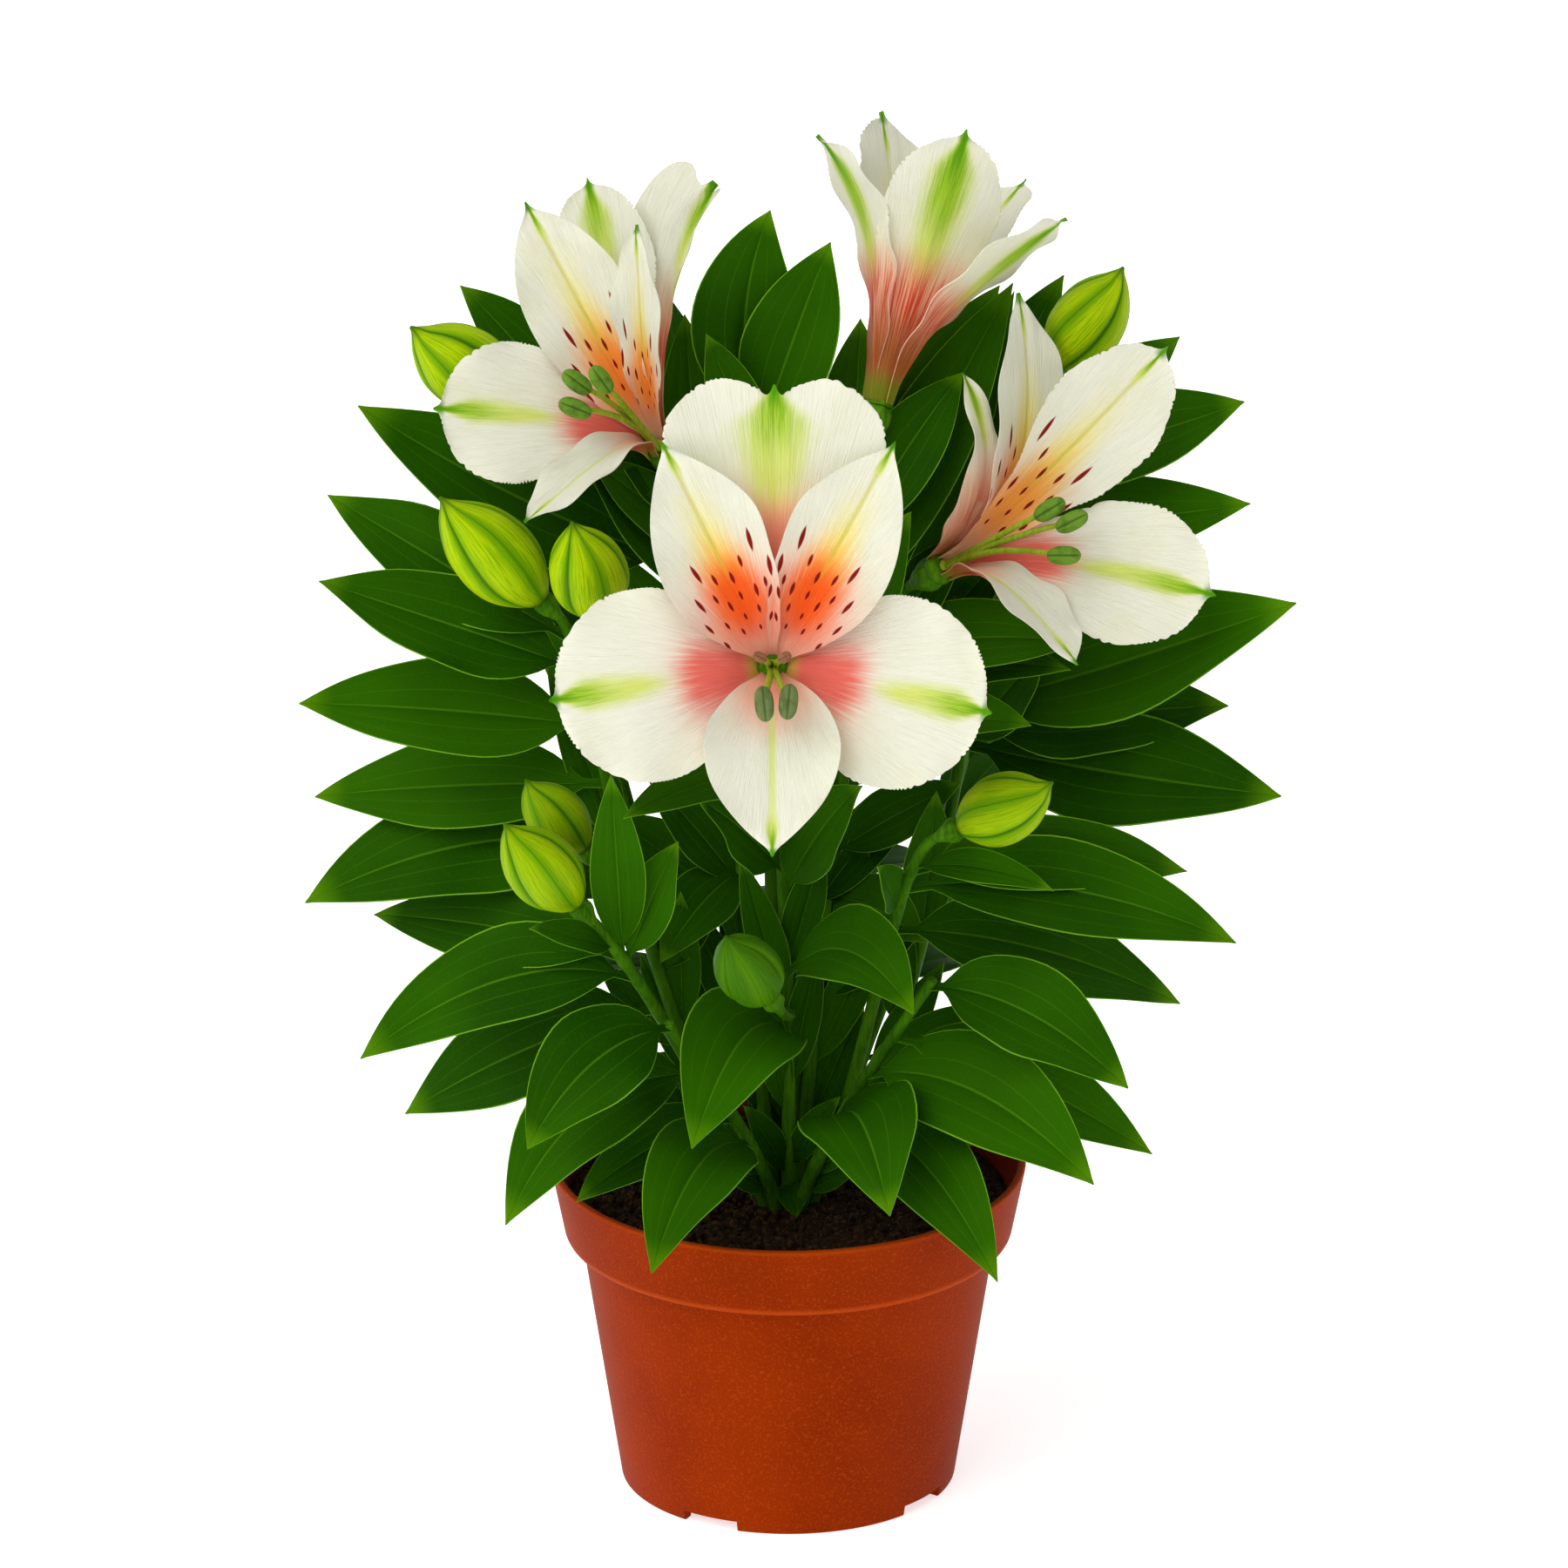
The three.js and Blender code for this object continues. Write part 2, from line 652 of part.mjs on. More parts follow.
// The soil's outline follows the pot's inner wall at a small gap, and its top has rings that swell a little.
function soil(roots) {
  const shoulder = POT_HEIGHT - COLLAR_HEIGHT;
  const floor = FOOT_HEIGHT + POT_WALL;
  const wide = COLLAR_FOOT_RADIUS - COLLAR_WALL - SOIL_GAP;
  const profile = [
    [0, floor + SOIL_GAP],
    [potInnerRadius(floor) - SOIL_GAP, floor + SOIL_GAP],
    [potInnerRadius(shoulder) - SOIL_GAP, shoulder + COLLAR_ROUND + SOIL_GAP],
    [wide, shoulder + COLLAR_WALL + SOIL_GAP],
    [wide, SOIL_TOP],
    ...SOIL_RINGS.map((radius) => [radius, SOIL_TOP]),
    [0, SOIL_TOP],
  ];
  const turned = lathe(profile, SOIL_SIDES);
  const places = turned.getAttribute("position");
  for (let i = 0; i < places.count; i++) {
    const x = places.getX(i);
    const y = places.getY(i);
    const fromAxis = Math.hypot(x, y);
    const onRing = SOIL_RINGS.some((radius) => Math.abs(fromAxis - radius) < SOIL_GAP);
    if (onRing && places.getZ(i) > SOIL_TOP - SOIL_GAP) {
      places.setZ(i, SOIL_TOP + soilSwell(x, y));
    }
  }
  let body = solidOfShape(turned);
  const radius = (STEM_FOOT_RADIUS + HOLE_GAP) / Math.cos(Math.PI / STEM_SIDES);
  for (const [x, y] of roots) {
    const hole = new THREE.CylinderGeometry(radius, radius, 2 * (ROOT_DEPTH + HOLE_GAP), STEM_SIDES);
    hole.rotateX(Math.PI / 2);
    hole.translate(x, y, SOIL_TOP);
    body = body.subtract(solidOfShape(hole));
  }
  return mesh("soil", body, EARTH);
}

// Leaves and stems

// How wide a leaf is at a share of its length: a narrow petiole, the widest place below the middle and a long
// point.
function leafBreadth(t) {
  if (t <= PETIOLE_SHARE) return PETIOLE_BREADTH;
  const along = (t - PETIOLE_SHARE) / (1 - PETIOLE_SHARE);
  const widest = LEAF_SWELL / (LEAF_SWELL + LEAF_TAPER);
  const full = widest ** LEAF_SWELL * (1 - widest) ** LEAF_TAPER;
  const body = (along ** LEAF_SWELL * (1 - along) ** LEAF_TAPER) / full;
  return Math.max(body, t < 0.5 ? PETIOLE_BREADTH : LEAF_POINT);
}

function bezier(points, t) {
  let level = points;
  while (level.length > 1) {
    level = level.slice(1).map((point, i) => level[i].clone().lerp(point, t));
  }
  return level[0];
}

function bezierHeading(points, t) {
  const step = 0.01;
  const from = bezier(points, Math.max(t - step, 0));
  return bezier(points, Math.min(t + step, 1)).sub(from).normalize();
}

// The way a leaf's upper face is turned: up and forwards at the front, up and outwards at the back.
function leafFacing(faces, middle) {
  if (faces === "out") return new Vector3(middle.x, middle.y, 0).normalize().multiplyScalar(0.62).setZ(0.78);
  return new Vector3(0, -0.72, 0.69);
}

function leafSolid(from, { tip, width, arch, faces }) {
  const length = from.distanceTo(tip);
  const crest = from.clone().lerp(tip, LEAF_CREST).add(new Vector3(0, 0, arch * length));
  const rib = [from, crest, tip];
  const facing = leafFacing(faces, crest);
  const shares = width < SMALL_LEAF_WIDTH ? SMALL_LEAF_STATIONS : LEAF_STATIONS;
  const stations = shares.map((t) => {
    const along = bezierHeading(rib, t);
    const normal = facing.clone().addScaledVector(along, -facing.dot(along)).normalize();
    const side = normal.clone().cross(along);
    const half = (width / 2) * leafBreadth(t);
    const middle = bezier(rib, t);
    const points = [-1, 0, 1].map((s) =>
      middle.clone().addScaledVector(side, s * half).addScaledVector(normal, Math.abs(s) * LEAF_FOLD * half),
    );
    return { points, normal };
  });
  return blade(stations, BLADE);
}

function flowerSeat(name) {
  const bloom = BLOOMS.find((one) => one.name === name);
  const bud = BUDS.find((one) => one.name === name);
  const aim = bloom ? bloom.axis.clone().normalize() : bud.tip.clone().sub(bud.base).normalize();
  const place = bloom ? bloom.hub : bud.base;
  const ovary = bloom ? OVARY.bloom : OVARY.bud;
  return { aim, ovary, start: place.clone().addScaledVector(aim, -SEAT_GAP - ovary.length) };
}

// A round tube along a Bezier curve that ends, where it bears a flower, in the ovary.
function tube(prefix, curve, steps, fromRadius, toRadius, seat) {
  const points = [...prefix];
  const radii = prefix.map(() => fromRadius);
  for (let i = 0; i <= steps; i++) {
    points.push(bezier(curve, i / steps));
    radii.push(THREE.MathUtils.lerp(fromRadius, toRadius, i / steps));
  }
  if (seat) {
    for (const [distance, radius] of seat.ovary.shape) {
      points.push(seat.start.clone().addScaledVector(seat.aim, distance));
      radii.push(radius);
    }
  }
  return loft(tubeRings(points, radii, STEM_SIDES));
}

function stemCurve(stem) {
  const foot = new Vector3(stem.root[0], stem.root[1], SOIL_TOP + COLLAR_ABOVE_SOIL);
  if (!stem.flower) return [foot, stem.bend, stem.knee, stem.top];
  const seat = flowerSeat(stem.flower);
  return [foot, stem.bend, seat.start.clone().addScaledVector(seat.aim, -stem.lead), seat.start];
}

function branchCurve(stemLine, branch) {
  const seat = flowerSeat(branch.flower);
  const from = bezier(stemLine, branch.from);
  const bend = from.clone().addScaledVector(bezierHeading(stemLine, branch.from), branch.lead);
  return [from, bend, seat.start.clone().addScaledVector(seat.aim, -branch.lead), seat.start];
}

function grow(curve, leaves) {
  return leaves.map((one) => {
    const from = bezier(curve, one.share);
    const tip = one.tip ?? from.clone().add(one.reach);
    return leafSolid(from, { ...one, tip });
  });
}

function leafyStem(stem) {
  const curve = stemCurve(stem);
  const [x, y] = stem.root;
  const buried = new Vector3(x, y, SOIL_TOP - ROOT_DEPTH);
  const seat = stem.flower ? flowerSeat(stem.flower) : null;
  const solids = [tube([buried], curve, STEM_STEPS, STEM_FOOT_RADIUS, STEM_TOP_RADIUS, seat)];
  solids.push(...grow(curve, stem.leaves));
  for (const branch of stem.branches ?? []) {
    const line = branchCurve(curve, branch);
    solids.push(tube([], line, BRANCH_STEPS, BRANCH_RADIUS, BRANCH_RADIUS, flowerSeat(branch.flower)));
    solids.push(...grow(line, branch.leaves));
  }
  return mesh(stem.name, fuse(solids), GREEN);
}

// Flowers

// Half the breadth of a tepal at a share of its length: a narrow claw, then a limb that swells to its widest
// place and rounds off.
function tepalHalf(tepal, t) {
  const { widest, swell, rounding, end } = OUTLINES[tepal.outline];
  if (t < TEPAL_CLAW_END) return CLAW_HALF;
  if (t < widest) {
    const reached = (t - TEPAL_CLAW_END) / (widest - TEPAL_CLAW_END);
    return THREE.MathUtils.lerp(CLAW_HALF, tepal.width / 2, Math.sin((Math.PI / 2) * reached) ** swell);
  }
  const beyond = (t - widest) / (1 - widest);
  return (tepal.width / 2) * (1 - (1 - end) * beyond ** rounding);
}

// How far the end of an outer tepal falls back at its corners, and runs on in the two lobes of a heart.
function tepalCrest(tepal, s) {
  if (tepal.kind === "inner") return 0;
  const lobe = tepal.outline === "heart" ? HEART_LOBE * Math.sin(Math.PI * Math.abs(s)) : 0;
  return lobe - CREST_CORNER * s ** 4;
}

function tepalSolid(bloom, tepal) {
  const axis = bloom.axis.clone().normalize();
  const rise = tepal.tip.dot(axis);
  const out = tepal.tip.clone().addScaledVector(axis, -rise).normalize();
  const at = (distance, height) =>
    bloom.hub.clone().addScaledVector(out, distance).addScaledVector(axis, height);
  const claw = CLAW_RADIUS + (tepal.kind === "outer" ? WHORL_APART : -WHORL_APART);
  const throat = claw + THROAT_APART[tepal.kind];
  const rib = [at(claw, BLADE), at(throat, bloom.tube), bloom.hub.clone().add(tepal.tip)];
  const cup = tepal.kind === "outer" ? OUTER_CUP : INNER_CUP;
  const shares = tepal.kind === "outer" ? OUTER_STATIONS : INNER_STATIONS;
  const columns = tepal.kind === "outer" ? OUTER_COLUMNS : INNER_COLUMNS;
  const length = tepal.tip.length();
  const stations = shares.map((t) => {
    const along = bezierHeading(rib, t);
    const normal = axis.clone().multiplyScalar(along.dot(out)).addScaledVector(out, -along.dot(axis));
    normal.applyAxisAngle(along, THREE.MathUtils.degToRad(tepal.turn * t));
    const side = normal.clone().cross(along);
    const half = tepalHalf(tepal, t);
    const middle = bezier(rib, t);
    const points = columns.map((s) =>
      middle
        .clone()
        .addScaledVector(side, s * half)
        .addScaledVector(normal, cup * (1 - CUP_EASES * t) * s * s * half)
        .addScaledVector(along, length * tepalCrest(tepal, s) * t ** 6),
    );
    return { points, normal };
  });
  return blade(stations, BLADE);
}

function hubSolid(bloom) {
  const axis = bloom.axis.clone().normalize();
  const points = [0, HUB_HEIGHT].map((height) => bloom.hub.clone().addScaledVector(axis, height));
  return loft(tubeRings(points, [HUB_RADIUS, HUB_RADIUS], 8));
}

function bloomTepals(bloom) {
  const solids = [hubSolid(bloom), ...bloom.tepals.map((tepal) => tepalSolid(bloom, tepal))];
  return mesh(`${bloom.name}_tepals`, fuse(solids), WHITE);
}

function stamenSolids(bloom, one) {
  const axis = bloom.axis.clone().normalize();
  const anther = bloom.hub.clone().add(one.anther);
  const aside = one.anther.clone().addScaledVector(axis, -one.anther.dot(axis)).normalize();
  const at = (height, apart) => bloom.hub.clone().addScaledVector(axis, height).addScaledVector(aside, apart);
  const foot = at(HUB_HEIGHT + SEAT_GAP + DISC_HEIGHT / 2, DISC_RADIUS / 2);
  const rib = [foot, at(bloom.tube, DISC_RADIUS), anther];
  const points = FILAMENT_STATIONS.map((t) => bezier(rib, t));
  const filament = loft(tubeRings(points, points.map(() => FILAMENT_RADIUS), 4));
  const middle = ANTHER_SHAPE.map(([distance]) => anther.clone().addScaledVector(one.point, distance));
  return [filament, loft(tubeRings(middle, ANTHER_SHAPE.map(([, radius]) => radius), 5))];
}

function bloomStamens(bloom) {
  const axis = bloom.axis.clone().normalize();
  const ends = [HUB_HEIGHT + SEAT_GAP, HUB_HEIGHT + SEAT_GAP + DISC_HEIGHT];
  const disc = ends.map((height) => bloom.hub.clone().addScaledVector(axis, height));
  const solids = [loft(tubeRings(disc, [DISC_RADIUS, DISC_RADIUS], 4))];
  for (const one of bloom.stamens) solids.push(...stamenSolids(bloom, one));
  return mesh(`${bloom.name}_stamens`, fuse(solids), ANTHER);
}

function budMesh(bud) {
  const aim = bud.tip.clone().sub(bud.base);
  const length = aim.length();
  aim.normalize();
  const middle = BUD_SHAPE.map(([share]) => bud.base.clone().addScaledVector(aim, share * length));
  const rings = tubeRings(middle, BUD_SHAPE.map(([, radius]) => radius * bud.radius), BUD_SIDES);
  rings.forEach((ring, i) => {
    ring.forEach((point, j) => {
      if (i > 0 && j % 2) point.lerp(middle[i], BUD_CREASE);
    });
  });
  rings.push([bud.tip.clone()]);
  return mesh(bud.name, loft(rings), LIME);
}

const stems = [...STEMS, ...Array.from({ length: BACK_SHOOTS }, (_, i) => backShoot(i))];
const lily = new THREE.Group();
lily.add(pot(), soil(stems.map((stem) => stem.root)));
for (const stem of stems) lily.add(leafyStem(stem));
for (const bloom of BLOOMS) lily.add(bloomTepals(bloom), bloomStamens(bloom));
for (const bud of BUDS) lily.add(budMesh(bud));

export default lily;
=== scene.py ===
"""A potted Peruvian lily in Blender: blooms, buds, leafy stems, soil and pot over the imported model's frame.

The tables hold millimetres and every mesh is made in metres. The plant was measured as it is seen from the
front and 22.5 degrees above, so most places are given across and up in that view.
"""

import logging
import math
from collections.abc import Callable, Iterable
from dataclasses import dataclass, replace
from enum import Enum

import bpy
import numpy as np
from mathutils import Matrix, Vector, noise


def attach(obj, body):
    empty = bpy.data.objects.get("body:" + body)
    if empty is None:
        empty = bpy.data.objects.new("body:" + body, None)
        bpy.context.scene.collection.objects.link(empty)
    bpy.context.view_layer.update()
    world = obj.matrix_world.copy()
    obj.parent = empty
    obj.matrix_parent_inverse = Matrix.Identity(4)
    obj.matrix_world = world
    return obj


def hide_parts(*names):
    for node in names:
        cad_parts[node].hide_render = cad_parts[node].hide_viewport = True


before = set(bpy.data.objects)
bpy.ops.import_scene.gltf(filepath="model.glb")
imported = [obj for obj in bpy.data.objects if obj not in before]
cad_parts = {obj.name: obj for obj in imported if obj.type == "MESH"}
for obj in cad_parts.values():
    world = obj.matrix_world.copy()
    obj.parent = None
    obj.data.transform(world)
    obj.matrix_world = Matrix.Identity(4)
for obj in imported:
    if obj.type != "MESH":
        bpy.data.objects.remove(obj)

LOG = logging.getLogger("lily")
MM = 0.001
SIGHT_TILT = math.radians(22.5)

Vec = np.ndarray
Material = bpy.types.Material
Mesh = bpy.types.Mesh
Object = bpy.types.Object
Dice = np.random.Generator


# Places in the view


def vec(x: float, y: float, z: float) -> Vec:
    """Returns a point or direction as an array."""
    return np.array([x, y, z], dtype=float)


LEVEL = (vec(1, 0, 0), vec(0, 1, 0))


def unit(v: Vec) -> Vec:
    """Returns a vector scaled to length one."""
    return v / np.linalg.norm(v)


def seen(across: float, up: float, back: float) -> Vec:
    """Finds the point seen at a place of the view.

    Args:
        across: Distance to the right of the pot's axis, in mm.
        up: Height in the view above the foot of the axis, in mm.
        back: Distance behind the pot's axis, in mm.

    Returns:
        The point in mm.
    """
    return vec(across, back, (up - back * math.sin(SIGHT_TILT)) / math.cos(SIGHT_TILT))


def seen_offset(across: float, up: float, near: float) -> Vec:
    """Turns an offset across, up and towards the eye into one in space."""
    sin, cos = math.sin(SIGHT_TILT), math.cos(SIGHT_TILT)
    return vec(across, up * sin - near * cos, up * cos + near * sin)


def bezier(points: list[Vec], t: Vec) -> Vec:
    """Evaluates a Bezier curve.

    Args:
        points: Its control points.
        t: Shares of the curve, which may pass its ends a little.

    Returns:
        One row of coordinates for each share.
    """
    t = np.atleast_1d(t)[:, None]
    level = [np.broadcast_to(point, (len(t), 3)) for point in points]
    while len(level) > 1:
        level = [a + (b - a) * t for a, b in zip(level, level[1:])]
    return level[0]


def bezier_heading(points: list[Vec], t: Vec) -> Vec:
    """Returns the unit tangents of a Bezier curve at shares of it."""
    step = 0.01
    ahead = bezier(points, np.add(t, step)) - bezier(points, np.subtract(t, step))
    return ahead / np.linalg.norm(ahead, axis=1)[:, None]


def at_lengths(points: list[Vec], lengths: Vec) -> Vec:
    """Finds the shares of a Bezier curve at distances along it, which may pass its end a little."""
    t = np.linspace(0, 1.2, 241)
    gaps = np.linalg.norm(np.diff(bezier(points, t), axis=0), axis=1)
    return np.interp(lengths, np.concatenate([[0], np.cumsum(gaps)]), t)


def curve_length(points: list[Vec]) -> float:
    """Returns the length of a Bezier curve."""
    return float(np.linalg.norm(np.diff(bezier(points, np.linspace(0, 1, 201)), axis=0), axis=1).sum())


def turned(vectors: Vec, axes: Vec, angles: Vec) -> Vec:
    """Turns each vector about its axis by its angle in radians."""
    cos, sin = np.cos(angles)[:, None], np.sin(angles)[:, None]
    along = np.sum(vectors * axes, axis=1)[:, None]
    return vectors * cos + np.cross(axes, vectors) * sin + axes * along * (1 - cos)


def full_turn(count: int) -> Vec:
    """Returns evenly spaced angles round a circle."""
    return np.linspace(0, math.tau, count, endpoint=False)


def mirrored(half: tuple[float, ...]) -> Vec:
    """Returns the numbers of a row from 0 up with their negatives before them."""
    return np.array([-one for one in half[:0:-1]] + list(half))


def dice(name: str, step: int = 1) -> Dice:
    """Returns the source of chance for the piece of a name."""
    return np.random.default_rng(sum(ord(letter) for letter in name) * step)


def smooth_step(value: Vec, low: float, high: float) -> Vec:
    """Returns a smooth rise from 0 at low to 1 at high."""
    share = np.clip((np.asarray(value, dtype=float) - low) / (high - low), 0, 1)
    return share * share * (3 - 2 * share)


def spline(rows: Vec, at: Vec) -> Vec:
    """Runs a smooth curve through rows of values.

    Args:
        rows: Rows of values, the first column being the parameter, which rises.
        at: Parameters to read the curve at.

    Returns:
        The other columns at each parameter.
    """
    rows = np.asarray(rows, dtype=float)
    key, values = rows[:, 0], rows[:, 1:]
    slope = np.gradient(values, key, axis=0)
    i = np.clip(np.searchsorted(key, at) - 1, 0, len(key) - 2)
    gap = (key[i + 1] - key[i])[:, None]
    u = ((at - key[i]) / gap[:, 0])[:, None]
    start, end = values[i], values[i + 1]
    rise, fall = slope[i] * gap, slope[i + 1] * gap
    return (
        (2 * u**3 - 3 * u**2 + 1) * start
        + (u**3 - 2 * u**2 + u) * rise
        + (3 * u**2 - 2 * u**3) * end
        + (u**3 - u**2) * fall
    )


# The plan of the plant


@dataclass(frozen=True)
class LeafPlan:
    """One leaf: the share of the stem where it grows, its tip, its width and its arch against its length.

    A leaf at the back has a reach from its foot in place of the tip, and faces outward.
    """

    share: float
    tip: Vec | None
    width: float
    arch: float
    reach: Vec | None = None
    outward: bool = False
    sway: float = 0.0


def leaves(*rows: tuple[float, ...]) -> tuple[LeafPlan, ...]:
    """Plans leaves by their tips as seen in the view.

    Args:
        rows: Share of the stem, tip across, up and back, width and arch of each leaf, and then how far its
            middle bends to the right in mm, if it does.

    Returns:
        Their plans.
    """
    return tuple(
        LeafPlan(share, seen(across, up, back), width, arch, sway=sum(sway))
        for share, across, up, back, width, arch, *sway in rows
    )


class TepalKind(Enum):
    """How a tepal is coloured."""

    TOP = "top"
    SIDE = "side"
    FOLDED = "folded"
    MARKED = "marked"
    LIP = "lip"


TOP, SIDE, FOLDED, MARKED, LIP = TepalKind


@dataclass(frozen=True)
class Outline:
    """A tepal's edge as rows of midrib share, edge share and half-breadth share, with or without scallops."""

    rows: tuple[tuple[float, float, float], ...]
    scalloped: bool


def even_outline(scalloped: bool, *pairs: tuple[float, float]) -> Outline:
    """Returns an outline whose rows run straight across the tepal."""
    return Outline(tuple((share, share, breadth) for share, breadth in pairs), scalloped)


HEART = Outline(
    (
        (0, 0, 0.065), (0.09, 0.09, 0.08), (0.17, 0.18, 0.22), (0.26, 0.28, 0.42), (0.38, 0.42, 0.65),
        (0.5, 0.56, 0.83), (0.61, 0.7, 0.96), (0.69, 0.8, 1), (0.75, 0.885, 0.96), (0.8, 0.952, 0.83),
        (0.845, 1.005, 0.66), (0.88, 1.028, 0.5), (0.91, 1.02, 0.32), (0.935, 0.992, 0.15),
        (0.955, 0.972, 0.06), (0.978, 0.984, 0.035), (1.008, 1.01, 0.008),
    ),
    True,
)
ROUND = even_outline(
    True, (0, 0.1), (0.08, 0.17), (0.16, 0.4), (0.25, 0.63), (0.37, 0.87), (0.49, 0.985), (0.59, 1),
    (0.7, 0.96), (0.8, 0.84), (0.88, 0.68), (0.94, 0.48), (0.975, 0.28),
    (0.988, 0.12), (1, 0.05), (1.025, 0.01),
)
SPOON = even_outline(
    True, (0, 0.1), (0.08, 0.12), (0.2, 0.27), (0.35, 0.5), (0.5, 0.78), (0.61, 0.95), (0.7, 1), (0.79, 0.95),
    (0.87, 0.8), (0.93, 0.6), (0.97, 0.36), (0.988, 0.15), (1, 0.06), (1.022, 0.012),
)
FUNNEL = even_outline(
    True, (0, 0.2), (0.08, 0.25), (0.2, 0.41), (0.35, 0.6), (0.5, 0.81), (0.61, 0.95), (0.7, 1), (0.79, 0.96),
    (0.87, 0.82), (0.93, 0.62), (0.97, 0.36), (0.988, 0.15), (1, 0.06), (1.022, 0.012),
)
FLARED = Outline(
    (
        (0, 0, 0.12), (0.08, 0.08, 0.16), (0.2, 0.2, 0.28), (0.35, 0.36, 0.42), (0.5, 0.53, 0.62),
        (0.6, 0.66, 0.8), (0.68, 0.76, 0.94), (0.74, 0.84, 1),
        (0.79, 0.9, 0.97), (0.83, 0.95, 0.86), (0.87, 0.985, 0.68),
        (0.9, 0.995, 0.5), (0.925, 0.985, 0.34), (0.945, 0.965, 0.2), (0.96, 0.962, 0.1), (0.98, 0.98, 0.06),
        (1, 1, 0.012),
    ),
    False,
)
TWISTED = even_outline(
    False, (0, 0.3), (0.15, 0.6), (0.28, 1), (0.4, 0.98), (0.52, 0.7), (0.68, 0.46), (0.85, 0.36),
    (0.94, 0.2), (1, 0.03),
)
OVAL = even_outline(
    False, (0, 0.13), (0.08, 0.22), (0.16, 0.46), (0.25, 0.7), (0.35, 0.9), (0.47, 1), (0.6, 0.955),
    (0.75, 0.74), (0.87, 0.44), (0.94, 0.2), (0.972, 0.085), (0.99, 0.045), (1.015, 0.012),
)
LANCE = even_outline(
    False, (0, 0.13), (0.08, 0.16), (0.2, 0.42), (0.35, 0.72), (0.5, 0.94), (0.61, 1), (0.73, 0.93),
    (0.85, 0.68), (0.93, 0.38), (0.97, 0.16), (0.99, 0.06), (1.015, 0.014),
)


@dataclass(frozen=True)
class TepalPlan:
    """One tepal: its tip from the hub, its width, the turn of its blade in degrees, its edge and colouring.

    The bow tells how far the midrib runs on past the throat before it bends, as a share of the tube, and the
    sway shifts that bend across, up and nearer in mm. The lean widens the half on one side of the midrib, and
    the fold lifts that half.
    """

    is_outer: bool
    tip: Vec
    width: float
    turn: float
    outline: Outline
    kind: TepalKind
    hand: int = 1
    bow: float = 0.15
    lean: float = 0.0
    fold: float = 0.0
    sway: tuple[float, float, float] = (0.0, 0.0, 0.0)


def outer(
    across: float, up: float, near: float, width: float, turn: float = 0,
    outline: Outline = SPOON, kind: TepalKind = SIDE, **more,
) -> TepalPlan:
    """Plans a tepal of the outer whorl."""
    return TepalPlan(True, seen_offset(across, up, near), width, turn, outline, kind, **more)


def inner(
    across: float, up: float, near: float, width: float, outline: Outline = LANCE,
    kind: TepalKind = MARKED, hand: int = 1, **more,
) -> TepalPlan:
    """Plans a tepal of the inner whorl."""
    return TepalPlan(False, seen_offset(across, up, near), width, 0, outline, kind, hand, **more)


@dataclass(frozen=True)
class StamenPlan:
    """One stamen: the middle of its anther from the hub and the way the anther points."""

    anther: Vec
    point: Vec
    spent: bool = False


def stamen(across: float, up: float, near: float, *point: float, spent: bool = False) -> StamenPlan:
    """Plans a stamen by places in the view; a spent one has a shrunken brown anther."""
    return StamenPlan(seen_offset(across, up, near), unit(seen_offset(*point)), spent)


@dataclass(frozen=True)
class BloomPlan:
    """One flower: its hub, the way it faces, the length of its tube, its tepals and stamens.

    The warmth tells how red the glow of its marked tepals is, and a closed tube holds its tepals together.
    """

    name: str
    hub: Vec
    axis: Vec
    tube: float
    tepals: tuple[TepalPlan, ...]
    stamens: tuple[StamenPlan, ...]
    anther_tone: float = 0.8
    warmth: float = 0.3
    has_closed_tube: bool = True

    @property
    def way(self) -> Vec:
        """The way it faces, as a unit vector."""
        return unit(self.axis)


@dataclass(frozen=True)
class BudPlan:
    """One closed bud from its base to its tip; a ripe one is yellower."""

    name: str
    base: Vec
    tip: Vec
    radius: float
    ripeness: float = 1.0


@dataclass(frozen=True)
class BranchPlan:
    """A side stalk that bears a bud: where it leaves the stem, how it leads, and its leaves."""

    flower: str
    start: float
    lead: float
    leaves: tuple[LeafPlan, ...] = ()


@dataclass(frozen=True)
class StemPlan:
    """One leafy stem or shoot: its root, its bend, then either a flower or its own top.

    Its inner leaves fill the clump between the stems and swell no joint.
    """

    name: str
    root: tuple[float, float]
    bend: Vec
    leaves: tuple[LeafPlan, ...]
    flower: str = ""
    lead: float = 0
    knee: Vec | None = None
    top: Vec | None = None
    branches: tuple[BranchPlan, ...] = ()
    inner_leaves: tuple[LeafPlan, ...] = ()


